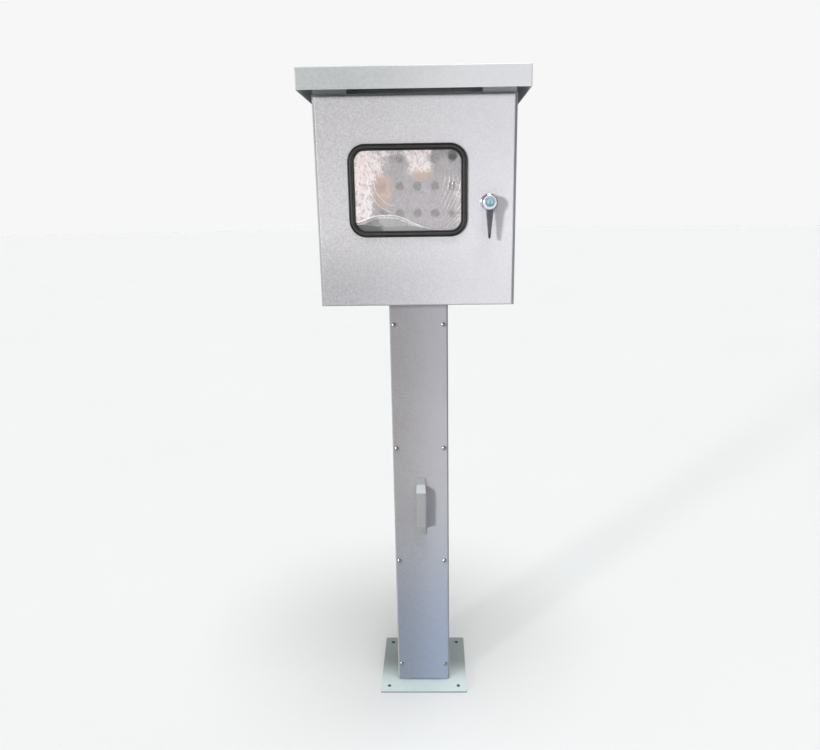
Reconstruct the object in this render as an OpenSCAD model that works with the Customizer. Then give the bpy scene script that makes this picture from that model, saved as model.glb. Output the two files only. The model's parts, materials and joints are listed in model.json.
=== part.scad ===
// Floor-standing outdoor alarm box: a windowed, lockable sheet-steel cabinet with a rain
// canopy, carried on a hollow post with a screwed cover and an anchored base plate.
// The origin is the centre of the base plate's underside; the front faces -Y.

/* [Base and post] */
// Side of the square base plate
base_w = 265; // [220:5:400]
// Thickness of the base plate
base_t = 6; // [4:1:16]
// Distance from a plate edge to the anchor holes
anchor_inset = 25; // [15:1:35]
// Diameter of an anchor hole
anchor_d = 12; // [8:0.5:18]
// Width and depth of the square post
post_w = 160; // [130:2:200]
// Height of the cabinet's underside above the ground
cabinet_z = 1200; // [800:10:1500]
// Sheet thickness of the post channel
post_sheet = 2.5; // [1.5:0.5:4]
// Width of the front flanges that the cover screws to
post_flange = 25; // [20:1:35]
// Thickness of the plate that closes the top of the post
top_plate_t = 6; // [4:1:12]
// Thickness of the rubber pad between post and cabinet
pad_t = 2; // [1:0.5:4]

/* [Post cover] */
// Sheet thickness of the cover
cover_t = 2; // [1:0.5:3]
// Step from the post's corner to the cover's edge
cover_step = 4; // [2:0.5:8]
// Gap between the base plate and the cover
cover_gap = 3; // [1:0.5:10]
// Distance of the outermost screws from the cover's ends
cover_screw_end = 55; // [30:1:100]
// Number of screws down each side
cover_screw_rows = 4; // [2:1:8]
// Height of the pull handle's centre
pull_z = 599; // [300:1:800]
// Overall length of the pull handle
pull_l = 178; // [140:1:220]
// Width of the handle strip
pull_w = 26; // [16:1:40]
// How far the handle stands off the cover
pull_out = 30; // [20:1:45]
// Thickness of the handle strip
pull_t = 3; // [2:0.5:5]
// Length of each foot of the handle, flat on the cover
pull_foot = 21; // [14:1:30]
// Height over which the strip slopes from a foot to the grip
pull_slope = 14; // [10:1:30]

/* [Cabinet] */
// Width of the cabinet
box_w = 500; // [440:5:700]
// Height of the cabinet
box_h = 515; // [440:5:800]
// Depth of the cabinet
box_d = 300; // [220:5:400]
// Sheet thickness of the cabinet
box_sheet = 1.5; // [1:0.25:3]
// Width of the front frame round the opening
frame_w = 40; // [38:1:60]
// Height of the gutter lip round the opening
lip_h = 8; // [6:0.5:12]
// Outer radius of a folded edge
fold_r = 3; // [2:0.5:6]

/* [Door] */
// Gap at each side between the cabinet's side and the door's edge
door_side_gap = 8; // [4:0.5:14]
// Gap between the cabinet's top and the door's top edge
door_top_gap = 8; // [4:0.5:14]
// Gap between the cabinet's underside and the door's lower edge
door_low_gap = 4; // [2:0.5:14]
// Depth of the door's folded edges
door_d = 18; // [16:0.5:24]
// Gap between the door's folded edges and the cabinet frame
door_clear = 2; // [1.5:0.25:4]
// Sheet thickness of the door
door_sheet = 2; // [1.5:0.25:2.5]
// Width of the foam gasket
gasket_w = 14; // [10:1:18]

/* [Window] */
// Width over the rubber seal
seal_w = 295; // [200:1:330]
// Height over the rubber seal
seal_h = 223; // [150:1:320]
// Corner radius over the rubber seal
seal_r = 43; // [30:1:60]
// Width of the rubber seal's face
seal_face = 16; // [14:1:22]
// How far the seal stands proud of the door
seal_out = 5; // [4:0.5:7]
// Window centre, right of the cabinet's centre
window_x = -19.5; // [-40:0.5:0]
// Window centre, above the cabinet's underside
window_z = 286.5; // [240:0.5:320]
// Thickness of the clear pane
pane_t = 3; // [2:0.5:3.5]

/* [Lock] */
// Distance from the front opening's right edge to the lock axis
lock_inset = 29; // [25:0.5:40]
// Lock axis, above the cabinet's underside
lock_z = 256.5; // [200:0.5:320]
// Diameter of the lever's round head
lever_head_d = 40; // [32:1:46]
// Length of the lever from the axis to its tip
lever_l = 87; // [70:1:110]
// Distance from the door face to the lever's front
lever_out = 34; // [28:0.5:40]
// Length of the cam from the axis to its tip
cam_l = 45; // [42:1:52]

/* [Inner panel] */
// Distance from the door face to the inner panel
panel_back = 58; // [50:1:80]
// Sheet thickness of the inner panel
panel_t = 2; // [1:0.5:3]
// Diameter of a push-button hole
button_hole_d = 22.5; // [16:0.5:30.5]
// Spacing of the hole columns
button_pitch_x = 45; // [32:0.5:60]
// Spacing of the hole rows
button_pitch_z = 67; // [40:0.5:80]
// Columns and rows of button holes
button_cols = 5; // [1:1:6]
button_rows = 3; // [1:1:4]

/* [Canopy] */
// How far the canopy overhangs the cabinet at the sides and back
canopy_over = 24; // [10:1:50]
// How far the canopy stands ahead of the cabinet's front
canopy_front = 73; // [50:1:120]
// Height of the canopy's folded edge
canopy_h = 50; // [30:1:90]
// Drop of the canopy's lower edge below the cabinet's top
canopy_drop = 2; // [0:0.5:5]
// Sheet thickness of the canopy
canopy_t = 1.5; // [1:0.25:3]
// Width of each spacer bracket
spacer_w = 82; // [50:1:120]

/* [Hidden] */
$fn = 48;

// Radial gaps: a free bolt hole, a screw in its thread, a turning fit
bolt_gap = 0.3;
thread_gap = 0.05;
turn_gap = 0.05;
// Gap between faces that nearly touch
face_gap = 0.3;

// Post
post_r = post_w / 2;
post_front = -post_r + cover_t;
post_top = cabinet_z - pad_t - top_plate_t;
cable_way = 84;
cover_bolt_x = post_r - post_flange / 2;
cover_low = base_t + cover_gap;
cover_high = post_top;
cover_screw_pitch = (cover_high - cover_low - 2 * cover_screw_end) / (cover_screw_rows - 1);
cover_screw_zs = [for (i = [0 : cover_screw_rows - 1])
    cover_low + cover_screw_end + i * cover_screw_pitch];
pull_screw_z = pull_l / 2 - pull_foot / 2;
cabinet_bolt = post_r - 18;

// Cabinet
box_top = cabinet_z + box_h;
box_front = -box_d / 2;
box_back = box_d / 2;
box_mid_z = cabinet_z + box_h / 2;
floor_z = cabinet_z + box_sheet;
inner_back = box_back - box_sheet;
inner_side = box_w / 2 - box_sheet;
open_w = box_w - 2 * frame_w;
open_h = box_h - 2 * frame_w;
gland_x = 21;
gland_plate_w = 100;
gland_plate_t = 2;
gland_top = floor_z + gland_plate_t;
gland_opening = 80;
gland_r = 12.5;
earth_x = 130;
earth_y = -70;

// Mounting plate and what it carries
plate_t = 2;
plate_gap = 21.5;
plate_front = inner_back - plate_gap - plate_t;
plate_w = open_w - 20;
plate_h = open_h - 5;
stud_x = plate_w / 2 - 15;
stud_z = plate_h / 2 - 15;
rail_z = cabinet_z + 105;
rail_l = 300;
rail_h = 7.5;
rail_screw_x = rail_l / 2 - 15;
block_w = 6;
block_gap = 0.2;
block_count = 20;
stop_w = 8;
row_w = block_count * (block_w + block_gap);

// Door
door_front = box_front - door_clear - door_d;
door_skin = door_front + door_sheet;
door_rear = box_front - door_clear;
door_w = box_w - 2 * door_side_gap;
door_low = cabinet_z + door_low_gap;
door_high = box_top - door_top_gap;
door_h = door_high - door_low;
door_mid_z = (door_low + door_high) / 2;
lip_tip = box_front - lip_h;
gasket_mid = box_sheet / 2;

// Hinges
hinge_inset = 5;
hinge_x = -door_w / 2 + hinge_inset;
hinge_y = door_front + door_d / 2;
knuckle_r = 4;
hinge_pin_r = 2.5;
hinge_half = 22;
hinge_mid = 7;
hinge_leaf = 18;
hinge_leaf_t = 2;
hinge_slot = hinge_half + 3;
hinge_zs = [door_low + 76, door_high - 76];
hinge_screw_x = 12;
hinge_screw_z = 14;

// Window
seal_back = 4;
seal_bite = 6;
strip_w = 6;
strip_in = 3;
strip_out = 0.8;
pane_mid = door_front + door_sheet / 2;
pane_front = pane_mid - pane_t / 2;
window_mid = cabinet_z + window_z;
film_t = 2.2;

// Lock
lock_x = open_w / 2 - lock_inset;
lock_mid_z = cabinet_z + lock_z;
lock_neck_r = 11;
rose_r = lever_head_d / 2 + 2;
rose_t = 6;
rose_front = door_front - rose_t;
collar_r = 14;
lever_back = rose_front - 8;
lever_front = door_front - lever_out;
arm_t = 9;
arm_front = lever_front + 2.5;
arm_root = 20;
arm_tip = 7;
barrel_r = 9.5;
barrel_depth = 14;
spindle_r = 6;
cam_t = 3;
cam_front = box_front + box_sheet + 2.5;
cam_w = 16;
cam_hole = 8;

// Inner panel
panel_front = door_front + panel_back;
panel_w = open_w - 20;
panel_h = open_h - 10;
panel_screw_x = panel_w / 2 - 7;
panel_screw_zs = [for (s = [-1, 0, 1]) box_mid_z + s * (panel_h / 2 - 30)];
bracket_t = 2;
bracket_side = 25;
button_x0 = 2.5;
button_z0 = cabinet_z + 299.5;

// Canopy
canopy_low = box_top - canopy_drop;
canopy_high = canopy_low + canopy_h;
canopy_y0 = box_front - canopy_front;
canopy_y1 = box_back + canopy_over;
canopy_w = box_w + 2 * canopy_over;
canopy_ceiling = canopy_high - canopy_t;
spacer_d = 30;
spacer_t = 2;
spacer_x = box_w / 2 - 3 - spacer_w / 2;
spacer_y = box_d / 2 - 2 - spacer_d / 2;
spacer_spots = [for (x = [-1, 1], y = [-1, 1]) [x * spacer_x, y]];

// Rounded rectangle about the origin
module rounded(w, h, r) {
    square([w - 2 * r, h], center = true);
    square([w, h - 2 * r], center = true);
    for (x = [-1, 1], y = [-1, 1]) {
        translate([x * (w / 2 - r), y * (h / 2 - r)]) circle(r);
    }
}

// Flat ring between two rounded rectangles, its band as wide as given
module rounded_ring(w, h, r, band) {
    difference() {
        rounded(w, h, r);
        rounded(w - 2 * band, h - 2 * band, max(r - band, 0.5));
    }
}

// Carries an (x, z) outline from the front plane y0 back to y1
module front_to_back(y0, y1) {
    translate([0, y1, 0]) rotate([90, 0, 0]) linear_extrude(y1 - y0) children();
}

// Carries a (y, z) outline from x0 to x1
module left_to_right(x0, x1) {
    translate([x0, 0, 0]) rotate([90, 0, 90]) linear_extrude(x1 - x0) children();
}

// Round bar along Y
module bar_y(x, z, r, y0, y1) {
    translate([x, y0, z]) rotate([-90, 0, 0]) cylinder(r = r, h = y1 - y0);
}

// Hexagon bar along Y, sized across its flats
module hex_y(x, z, flats, y0, y1) {
    translate([x, y0, z]) rotate([-90, 0, 0]) cylinder(d = flats / cos(30), h = y1 - y0, $fn = 6);
}

// Hexagon bar along Z, sized across its flats
module hex_z(flats, h) {
    cylinder(d = flats / cos(30), h = h, $fn = 6);
}

// Box folded from sheet: round vertical edges and round edges along X
module folded_box(w, y0, y1, z0, z1, r) {
    intersection() {
        translate([0, (y0 + y1) / 2, z0]) linear_extrude(z1 - z0) rounded(w, y1 - y0, r);
        left_to_right(-w / 2, w / 2)
            translate([(y0 + y1) / 2, (z0 + z1) / 2]) rounded(y1 - y0, z1 - z0, r);
    }
}

// Domed screw head with a cross recess, its top towards +Z
module dome_head(r, h) {
    rise = h * 0.55;
    ball = (r * r + rise * rise) / (2 * rise);
    arm = r * 1.1;
    slot = r * 0.2;
    difference() {
        intersection() {
            cylinder(r = r, h = h);
            translate([0, 0, h - ball]) sphere(ball, $fn = 64);
        }
        for (a = [0, 90]) {
            rotate([0, 0, a]) translate([-arm / 2, -slot / 2, h * 0.45]) cube([arm, slot, h]);
        }
    }
}

// Screw driven along +Y: the head's underside at y0, the shank ending at y1
module screw_y(x, z, y0, y1, r, head_r, head_h) {
    translate([x, y0, z]) rotate([90, 0, 0]) dome_head(head_r, head_h);
    bar_y(x, z, r, y0, y1);
}

// Hexagon nut along Y
module nut_y(x, z, r, flats, y0, y1) {
    difference() {
        hex_y(x, z, flats, y0, y1);
        bar_y(x, z, r + thread_gap, y0 - 1, y1 + 1);
    }
}

// The same nut along Z, on the given height
module nut_z(r, flats, h) {
    difference() {
        hex_z(flats, h);
        translate([0, 0, -1]) cylinder(r = r + thread_gap, h = h + 2);
    }
}

module base_plate() color([0.72, 0.75, 0.75]) {
    a = base_w / 2 - anchor_inset;
    difference() {
        linear_extrude(base_t) rounded(base_w, base_w, 4);
        for (x = [-a, a], y = [-a, a]) {
            translate([x, y, -1]) cylinder(d = anchor_d, h = base_t + 2);
        }
        translate([0, 0, -1]) cylinder(d = 100, h = base_t + 2);
    }
}

// Channel open to the front, with a flange turned in at each side
module post_channel() color([0.72, 0.72, 0.73]) {
    depth = post_r - post_front;
    mid_y = (post_r + post_front) / 2;
    difference() {
        translate([0, mid_y, base_t]) linear_extrude(post_top - base_t) difference() {
            rounded(post_w, depth, fold_r);
            rounded(post_w - 2 * post_sheet, depth - 2 * post_sheet, fold_r - 1.5);
            translate([0, -depth / 2])
                square([post_w - 2 * post_flange, 4 * post_sheet], center = true);
        }
        for (x = [-1, 1], z = cover_screw_zs) {
            bar_y(x * cover_bolt_x, z, 3 + bolt_gap, post_front - 1, post_front + post_sheet + 1);
        }
    }
}

// Drilled plate shape shared by the post's top plate and its pad
module post_head_outline() {
    difference() {
        translate([0, (post_r + post_front) / 2]) rounded(post_w, post_r - post_front, fold_r);
        rounded(cable_way, cable_way, 8);
        for (x = [-1, 1], y = [-1, 1]) {
            translate([x * cabinet_bolt, y * cabinet_bolt]) circle(4 + bolt_gap);
        }
    }
}

module post_top_plate() color([0.66, 0.67, 0.68]) {
    translate([0, 0, post_top]) linear_extrude(top_plate_t) post_head_outline();
}

module post_pad() color([0.12, 0.12, 0.12]) {
    translate([0, 0, cabinet_z - pad_t]) linear_extrude(pad_t) post_head_outline();
}

module post_cover() color([0.64, 0.64, 0.66]) {
    w = post_w - 2 * cover_step;
    difference() {
        front_to_back(-post_r, post_front)
            translate([0, (cover_low + cover_high) / 2]) rounded(w, cover_high - cover_low, 2);
        for (x = [-1, 1], z = cover_screw_zs) {
            bar_y(x * cover_bolt_x, z, 3 + bolt_gap, -post_r - 1, post_front + 1);
        }
        for (s = [-1, 1]) {
            bar_y(0, pull_z + s * pull_screw_z, 2 + bolt_gap, -post_r - 1, post_front + 1);
        }
    }
}

module cover_screws() color([0.8, 0.8, 0.82]) {
    for (x = [-1, 1], z = cover_screw_zs) {
        screw_y(x * cover_bolt_x, z, -post_r, post_front + post_sheet + 7, 3, 6, 3.6);
    }
}

module cover_nuts() color([0.75, 0.72, 0.6]) {
    y0 = post_front + post_sheet;
    for (x = [-1, 1], z = cover_screw_zs) nut_y(x * cover_bolt_x, z, 3, 10, y0, y0 + 5);
}

// Strip folded into a pull: foot, slope, grip, slope, foot
module cover_handle() color([0.68, 0.68, 0.68]) {
    half = pull_l / 2;
    knee = half - pull_foot;
    grip = knee - pull_slope;
    trim = pull_t * tan(atan2(pull_out - pull_t, pull_slope) / 2);
    upper = [[0, half], [-pull_t, half], [-pull_t, knee], [-pull_out, grip]];
    inner = [[-pull_out + pull_t, grip - trim], [0, knee - trim]];
    lower = [for (i = [3 : -1 : 0]) [upper[i][0], -upper[i][1]]];
    inner_lower = [for (i = [1 : -1 : 0]) [inner[i][0], -inner[i][1]]];
    difference() {
        translate([0, -post_r, pull_z]) left_to_right(-pull_w / 2, pull_w / 2)
            polygon(concat(upper, lower, inner_lower, inner));
        for (s = [-1, 1]) {
            bar_y(0, pull_z + s * pull_screw_z, 2 + thread_gap, -post_r - 2.2, -post_r + 1);
        }
    }
}

module handle_screws() color([0.8, 0.8, 0.82]) {
    for (s = [-1, 1]) {
        z = pull_z + s * pull_screw_z;
        bar_y(0, z, 2, -post_r - 2, post_front);
        translate([0, post_front, z]) rotate([-90, 0, 0]) dome_head(4, 2.6);
    }
}

// Five-sided cabinet with a front frame, a gutter lip and its drilled holes
module cabinet_body() color([0.84, 0.83, 0.85]) {
    s = box_sheet;
    difference() {
        union() {
            difference() {
                folded_box(box_w, box_front, box_back, cabinet_z, box_top, fold_r);
                folded_box(box_w - 2 * s, box_front + s, box_back - s, cabinet_z + s,
                    box_top - s, fold_r - 1.2);
                front_to_back(box_front - 1, box_front + s + 1)
                    translate([0, box_mid_z]) square([open_w, open_h], center = true);
            }
            front_to_back(lip_tip, box_front + s) translate([0, box_mid_z]) difference() {
                square([open_w + 2 * s, open_h + 2 * s], center = true);
                square([open_w, open_h], center = true);
            }
        }
        translate([0, 0, cabinet_z - 1]) linear_extrude(s + 2) {
            rounded(gland_opening, gland_opening, 8);
            for (x = [-1, 1], y = [-1, 1]) {
                translate([x * cabinet_bolt, y * cabinet_bolt]) circle(4 + bolt_gap);
                translate([x, y] * (gland_plate_w / 2 - 5)) circle(2 + thread_gap);
            }
            translate([earth_x, earth_y]) circle(4 + thread_gap);
        }
        for (p = spacer_spots) {
            translate([p[0], p[1] * spacer_y, box_top - s - 1]) cylinder(r = 3 + bolt_gap, h = s + 2);
        }
        for (z = hinge_zs, side = [-1, 1]) {
            bar_y(hinge_x + hinge_screw_x, z + side * hinge_screw_z, 2 + thread_gap,
                box_front - 1, box_front + s + 1);
        }
    }
}

// Bolts down through the cabinet floor, the pad and the post's top plate
module cabinet_bolts() color([0.78, 0.78, 0.8]) {
    for (x = [-1, 1], y = [-1, 1]) translate([x, y, 0] * cabinet_bolt) {
        translate([0, 0, floor_z + 1.6]) hex_z(13, 5.3);
        translate([0, 0, floor_z]) cylinder(r = 8, h = 1.6);
        translate([0, 0, post_top - 10]) cylinder(r = 4, h = floor_z - post_top + 10);
    }
}

module cabinet_nuts() color([0.78, 0.78, 0.8]) {
    for (x = [-1, 1], y = [-1, 1]) {
        translate([x * cabinet_bolt, y * cabinet_bolt, post_top - 6.5]) nut_z(4, 13, 6.5);
    }
}

module gland_plate() color([0.7, 0.7, 0.72]) {
    translate([0, 0, floor_z]) linear_extrude(gland_plate_t) difference() {
        rounded(gland_plate_w, gland_plate_w, 4);
        for (x = [-1, 1]) translate([x * gland_x, 0]) circle(gland_r + bolt_gap);
        for (x = [-1, 1], y = [-1, 1]) {
            translate([x, y] * (gland_plate_w / 2 - 5)) circle(2 + bolt_gap);
        }
    }
}

module gland_plate_screws() color([0.8, 0.8, 0.82]) {
    for (x = [-1, 1], y = [-1, 1]) translate([x, y, 0] * (gland_plate_w / 2 - 5)) {
        translate([0, 0, gland_top]) dome_head(4, 2.6);
        translate([0, 0, cabinet_z + face_gap]) cylinder(r = 2, h = gland_top - cabinet_z - face_gap);
    }
}

// Glands hang into the post: thread above the plate, hexagon and dome below it
module cable_glands() color([0.2, 0.2, 0.21]) {
    for (x = [-1, 1]) translate([x * gland_x, 0, floor_z]) difference() {
        union() {
            translate([0, 0, -8]) hex_z(30, 8);
            translate([0, 0, -1]) cylinder(r = gland_r, h = gland_plate_t + 10);
            rotate_extrude() polygon([[0, -8], [14, -8], [14, -18], [10, -24], [0, -24]]);
        }
        translate([0, 0, -30]) cylinder(r = 7, h = 50);
    }
}

module gland_locknuts() color([0.2, 0.2, 0.21]) {
    for (x = [-1, 1]) translate([x * gland_x, 0, gland_top]) nut_z(gland_r, 33, 5);
}

module earth_stud() color([0.75, 0.62, 0.35]) {
    translate([earth_x, earth_y, cabinet_z + face_gap]) cylinder(r = 4, h = 28);
}

module earth_nuts() color([0.75, 0.62, 0.35]) {
    for (h = [0, 14]) translate([earth_x, earth_y, floor_z + h]) nut_z(4, 13, 6);
}

// Welded spacers on the back wall, each with a threaded stud
module mounting_studs() color([0.75, 0.75, 0.77]) {
    for (x = [-1, 1], z = [-1, 1]) {
        bar_y(x * stud_x, box_mid_z + z * stud_z, 6, plate_front + plate_t, inner_back);
        bar_y(x * stud_x, box_mid_z + z * stud_z, 3, plate_front - 10, plate_front + plate_t);
    }
}

module mounting_plate() color([0.7, 0.71, 0.72]) {
    front_to_back(plate_front, plate_front + plate_t) difference() {
        translate([0, box_mid_z]) rounded(plate_w, plate_h, 4);
        for (x = [-1, 1], z = [-1, 1]) {
            translate([x * stud_x, box_mid_z + z * stud_z]) circle(3 + bolt_gap);
        }
        for (x = [-1, 1]) translate([x * rail_screw_x, rail_z]) circle(2.5 + thread_gap);
    }
}

module mounting_nuts() color([0.75, 0.75, 0.77]) {
    for (x = [-1, 1], z = [-1, 1]) {
        nut_y(x * stud_x, box_mid_z + z * stud_z, 3, 10, plate_front - 5, plate_front);
    }
}

// Top-hat rail, 35 mm wide and 7.5 mm high
module din_rail() color([0.76, 0.77, 0.78]) {
    t = 1;
    y = plate_front;
    difference() {
        left_to_right(-rail_l / 2, rail_l / 2) translate([y, rail_z]) {
            translate([-t, -13.5]) square([t, 27]);
            for (s = [-1, 1]) {
                translate([-rail_h, s * 13 - t / 2]) square([rail_h, t]);
                translate([-rail_h, s * 15.25 - 2.25]) square([t, 4.5]);
            }
        }
        for (x = [-1, 1]) bar_y(x * rail_screw_x, rail_z, 2.5 + bolt_gap, y - t - 1, y + 1);
    }
}

module rail_screws() color([0.8, 0.8, 0.82]) {
    for (x = [-1, 1]) {
        screw_y(x * rail_screw_x, rail_z, plate_front - 1, plate_front + plate_t + 2, 2.5, 4.5, 3);
    }
}

// One rail terminal: a stepped body that grips the rail's edges, with two wire entries
module terminal(x, w) {
    y = plate_front - rail_h;
    difference() {
        left_to_right(x - w / 2, x + w / 2) translate([y, rail_z]) difference() {
            polygon([[-face_gap, -24], [-8, -24], [-20, -18], [-34, -12], [-34, 12],
                [-20, 18], [-8, 24], [-face_gap, 24]]);
            translate([-14, 0]) circle(1.2);
        }
        for (s = [-1, 1]) {
            bar_y(x, rail_z + s * 9, 1.6, y - 40, y - 24);
            translate([x - w * 0.3, y - 40, rail_z + s * 17 - 2]) cube([w * 0.6, 28, 4]);
        }
    }
}

module terminal_blocks() color([0.62, 0.63, 0.62]) {
    for (i = [0 : block_count - 1]) {
        terminal(-row_w / 2 + (i + 0.5) * (block_w + block_gap), block_w);
    }
}

module earth_terminal() color([0.35, 0.6, 0.25]) {
    terminal(row_w / 2 + (block_w + block_gap) / 2, block_w);
}

module end_stops() color([0.3, 0.3, 0.31]) {
    step = block_gap + block_w;
    terminal(-row_w / 2 - stop_w / 2 - block_gap, stop_w);
    terminal(row_w / 2 + step + stop_w / 2, stop_w);
}

// Angle from a side wall to the edge of the inner panel
module panel_bracket(side) {
    x0 = panel_screw_x - 9;
    y0 = panel_front + panel_t;
    outer = inner_side;
    difference() {
        mirror([side > 0 ? 0 : 1, 0, 0]) translate([0, 0, box_mid_z - panel_h / 2 + 12])
            linear_extrude(panel_h - 24) {
                translate([x0, y0]) square([outer - x0, bracket_t]);
                translate([outer - bracket_t, y0]) square([bracket_t, bracket_side]);
            }
        for (z = panel_screw_zs) bar_y(side * panel_screw_x, z, 2.5 + bolt_gap, y0 - 1, y0 + 4);
    }
}

module panel_bracket_left() color([0.78, 0.78, 0.8]) panel_bracket(-1);

module panel_bracket_right() color([0.78, 0.78, 0.8]) panel_bracket(1);

module inner_panel() color([0.76, 0.74, 0.77]) {
    front_to_back(panel_front, panel_front + panel_t) difference() {
        translate([0, box_mid_z]) rounded(panel_w, panel_h, 3);
        for (c = [0 : button_cols - 1], r = [0 : button_rows - 1]) {
            x = button_x0 + (c - (button_cols - 1) / 2) * button_pitch_x;
            z = button_z0 + (r - (button_rows - 1) / 2) * button_pitch_z;
            translate([x, z]) circle(d = button_hole_d);
        }
        for (x = [-1, 1], z = panel_screw_zs) {
            translate([x * panel_screw_x, z]) circle(2.5 + bolt_gap);
        }
    }
}

module panel_screws() color([0.8, 0.8, 0.82]) {
    for (x = [-1, 1], z = panel_screw_zs) {
        screw_y(x * panel_screw_x, z, panel_front, panel_front + panel_t + bracket_t + 6, 2.5, 5, 3);
    }
}

module panel_nuts() color([0.78, 0.75, 0.65]) {
    y0 = panel_front + panel_t + bracket_t;
    for (x = [-1, 1], z = panel_screw_zs) nut_y(x * panel_screw_x, z, 2.5, 8, y0, y0 + 4);
}

// Shallow tray: front skin with four folded edges, cut for the window, lock and hinges
module door_shell() color([0.85, 0.84, 0.86]) {
    t = door_sheet;
    difference() {
        folded_box(door_w, door_front, door_rear + 2 * fold_r, door_low, door_high, fold_r);
        folded_box(door_w - 2 * t, door_skin, door_rear + 4 * fold_r, door_low + t,
            door_high - t, fold_r - t + 0.2);
        translate([-door_w, door_rear, door_low - 1]) cube([2 * door_w, 5 * fold_r, door_h + 2]);
        front_to_back(door_front - 1, door_skin + 1) {
            translate([window_x, window_mid])
                rounded(seal_w - 2 * seal_bite, seal_h - 2 * seal_bite, seal_r - seal_bite);
            translate([lock_x, lock_mid_z]) circle(lock_neck_r + bolt_gap);
        }
        for (z = hinge_zs) {
            translate([-door_w / 2 - 1, door_skin + 1, z - hinge_slot])
                cube([t + 1.5, door_d, 2 * hinge_slot]);
        }
    }
}

module door_gasket() color([0.1, 0.1, 0.1]) {
    w = open_w + 2 * gasket_mid + gasket_w;
    h = open_h + 2 * gasket_mid + gasket_w;
    front_to_back(door_skin, lip_tip - face_gap)
        translate([0, box_mid_z]) rounded_ring(w, h, 8, gasket_w);
}

// Rubber section with a groove for the door sheet, a groove for the pane and a face
// groove for the locking strip
module window_seal() color([0.09, 0.09, 0.1]) {
    face = door_front - seal_out;
    difference() {
        at_window(face, door_skin + seal_back) rounded_ring(seal_w, seal_h, seal_r, seal_face);
        at_window(door_front, door_skin)
            rounded_ring(seal_w + 10, seal_h + 10, seal_r + 5, seal_bite + 5);
        at_window(pane_front, pane_front + pane_t) pane_outline();
        at_window(face - 1, face + strip_in) strip_outline();
    }
}

module at_window(y0, y1) {
    front_to_back(y0, y1) translate([window_x, window_mid]) children();
}

module pane_outline() {
    b = seal_face - seal_bite;
    rounded(seal_w - 2 * b, seal_h - 2 * b, seal_r - b);
}

module strip_outline() {
    b = (seal_face - strip_w) / 2;
    rounded_ring(seal_w - 2 * b, seal_h - 2 * b, seal_r - b, strip_w);
}

module seal_locking_strip() color([0.36, 0.36, 0.36]) {
    face = door_front - seal_out;
    at_window(face - strip_out, face + strip_in) strip_outline();
}

module window_pane() color([0.85, 0.9, 0.92, 0.35]) {
    at_window(pane_front, pane_front + pane_t) pane_outline();
}

module protective_film() color([0.95, 0.95, 0.95, 0.5]) {
    b = seal_face + face_gap;
    at_window(pane_front - face_gap - film_t, pane_front - face_gap)
        rounded(seal_w - 2 * b, seal_h - 2 * b, seal_r - b);
}

// Leaf on the cabinet frame: flange, web and the two outer knuckles
module hinge_frame_leaves() color([0.72, 0.73, 0.75]) {
    y1 = box_front - hinge_y;
    for (z = hinge_zs) translate([hinge_x, hinge_y, z]) difference() {
        union() {
            translate([-1, y1 - hinge_leaf_t, -hinge_half])
                cube([hinge_leaf + 1, hinge_leaf_t, 2 * hinge_half]);
            for (s = [-1, 1]) translate([0, 0, s * (hinge_half + hinge_mid) / 2]) {
                linear_extrude(hinge_half - hinge_mid, center = true) {
                    circle(knuckle_r);
                    translate([-1, 0]) square([knuckle_r + 1, y1]);
                }
            }
        }
        translate([0, 0, -hinge_half - 1])
            cylinder(r = hinge_pin_r + turn_gap, h = 2 * hinge_half + 2);
        for (s = [-1, 1]) translate([hinge_screw_x, y1 - hinge_leaf_t - 1, s * hinge_screw_z])
            rotate([-90, 0, 0]) cylinder(r = 2 + bolt_gap, h = 4);
    }
}

// Leaf on the door skin with the middle knuckle
module hinge_door_leaves() color([0.72, 0.73, 0.75]) {
    y0 = door_skin - hinge_y;
    half = hinge_mid - face_gap;
    for (z = hinge_zs) translate([hinge_x, hinge_y, z]) difference() {
        union() {
            translate([-1, y0, -hinge_half]) cube([hinge_leaf + 1, hinge_leaf_t, 2 * hinge_half]);
            translate([0, 0, -half]) linear_extrude(2 * half) {
                circle(knuckle_r);
                translate([-1, y0]) square([knuckle_r + 1, -y0]);
            }
        }
        translate([0, 0, -half - 1]) cylinder(r = hinge_pin_r + turn_gap, h = 2 * half + 2);
    }
}

module hinge_pins() color([0.85, 0.85, 0.87]) {
    for (z = hinge_zs) translate([hinge_x, hinge_y, z]) {
        translate([0, 0, -hinge_half - 2]) cylinder(r = hinge_pin_r, h = 2 * hinge_half + 2);
        translate([0, 0, hinge_half]) cylinder(r = knuckle_r - 0.4, h = 1.6);
    }
}

module hinge_screws() color([0.8, 0.8, 0.82]) {
    for (z = hinge_zs, s = [-1, 1]) {
        screw_y(hinge_x + hinge_screw_x, z + s * hinge_screw_z, box_front - hinge_leaf_t,
            box_front + box_sheet + 3, 2, 3.8, 2);
    }
}

// Round rose and collar on the door face with a threaded neck through the skin
module lock_housing() color([0.78, 0.79, 0.8]) {
    difference() {
        union() {
            bar_y(lock_x, lock_mid_z, rose_r, rose_front, door_front);
            bar_y(lock_x, lock_mid_z, collar_r, lever_back + face_gap, rose_front);
            bar_y(lock_x, lock_mid_z, lock_neck_r, door_front, door_rear);
        }
        bar_y(lock_x, lock_mid_z, spindle_r + turn_gap, lever_back - 1, door_rear + 1);
    }
}

module lock_nut() color([0.7, 0.7, 0.72]) {
    nut_y(lock_x, lock_mid_z, lock_neck_r, 28, door_skin, door_skin + 6);
}

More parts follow.
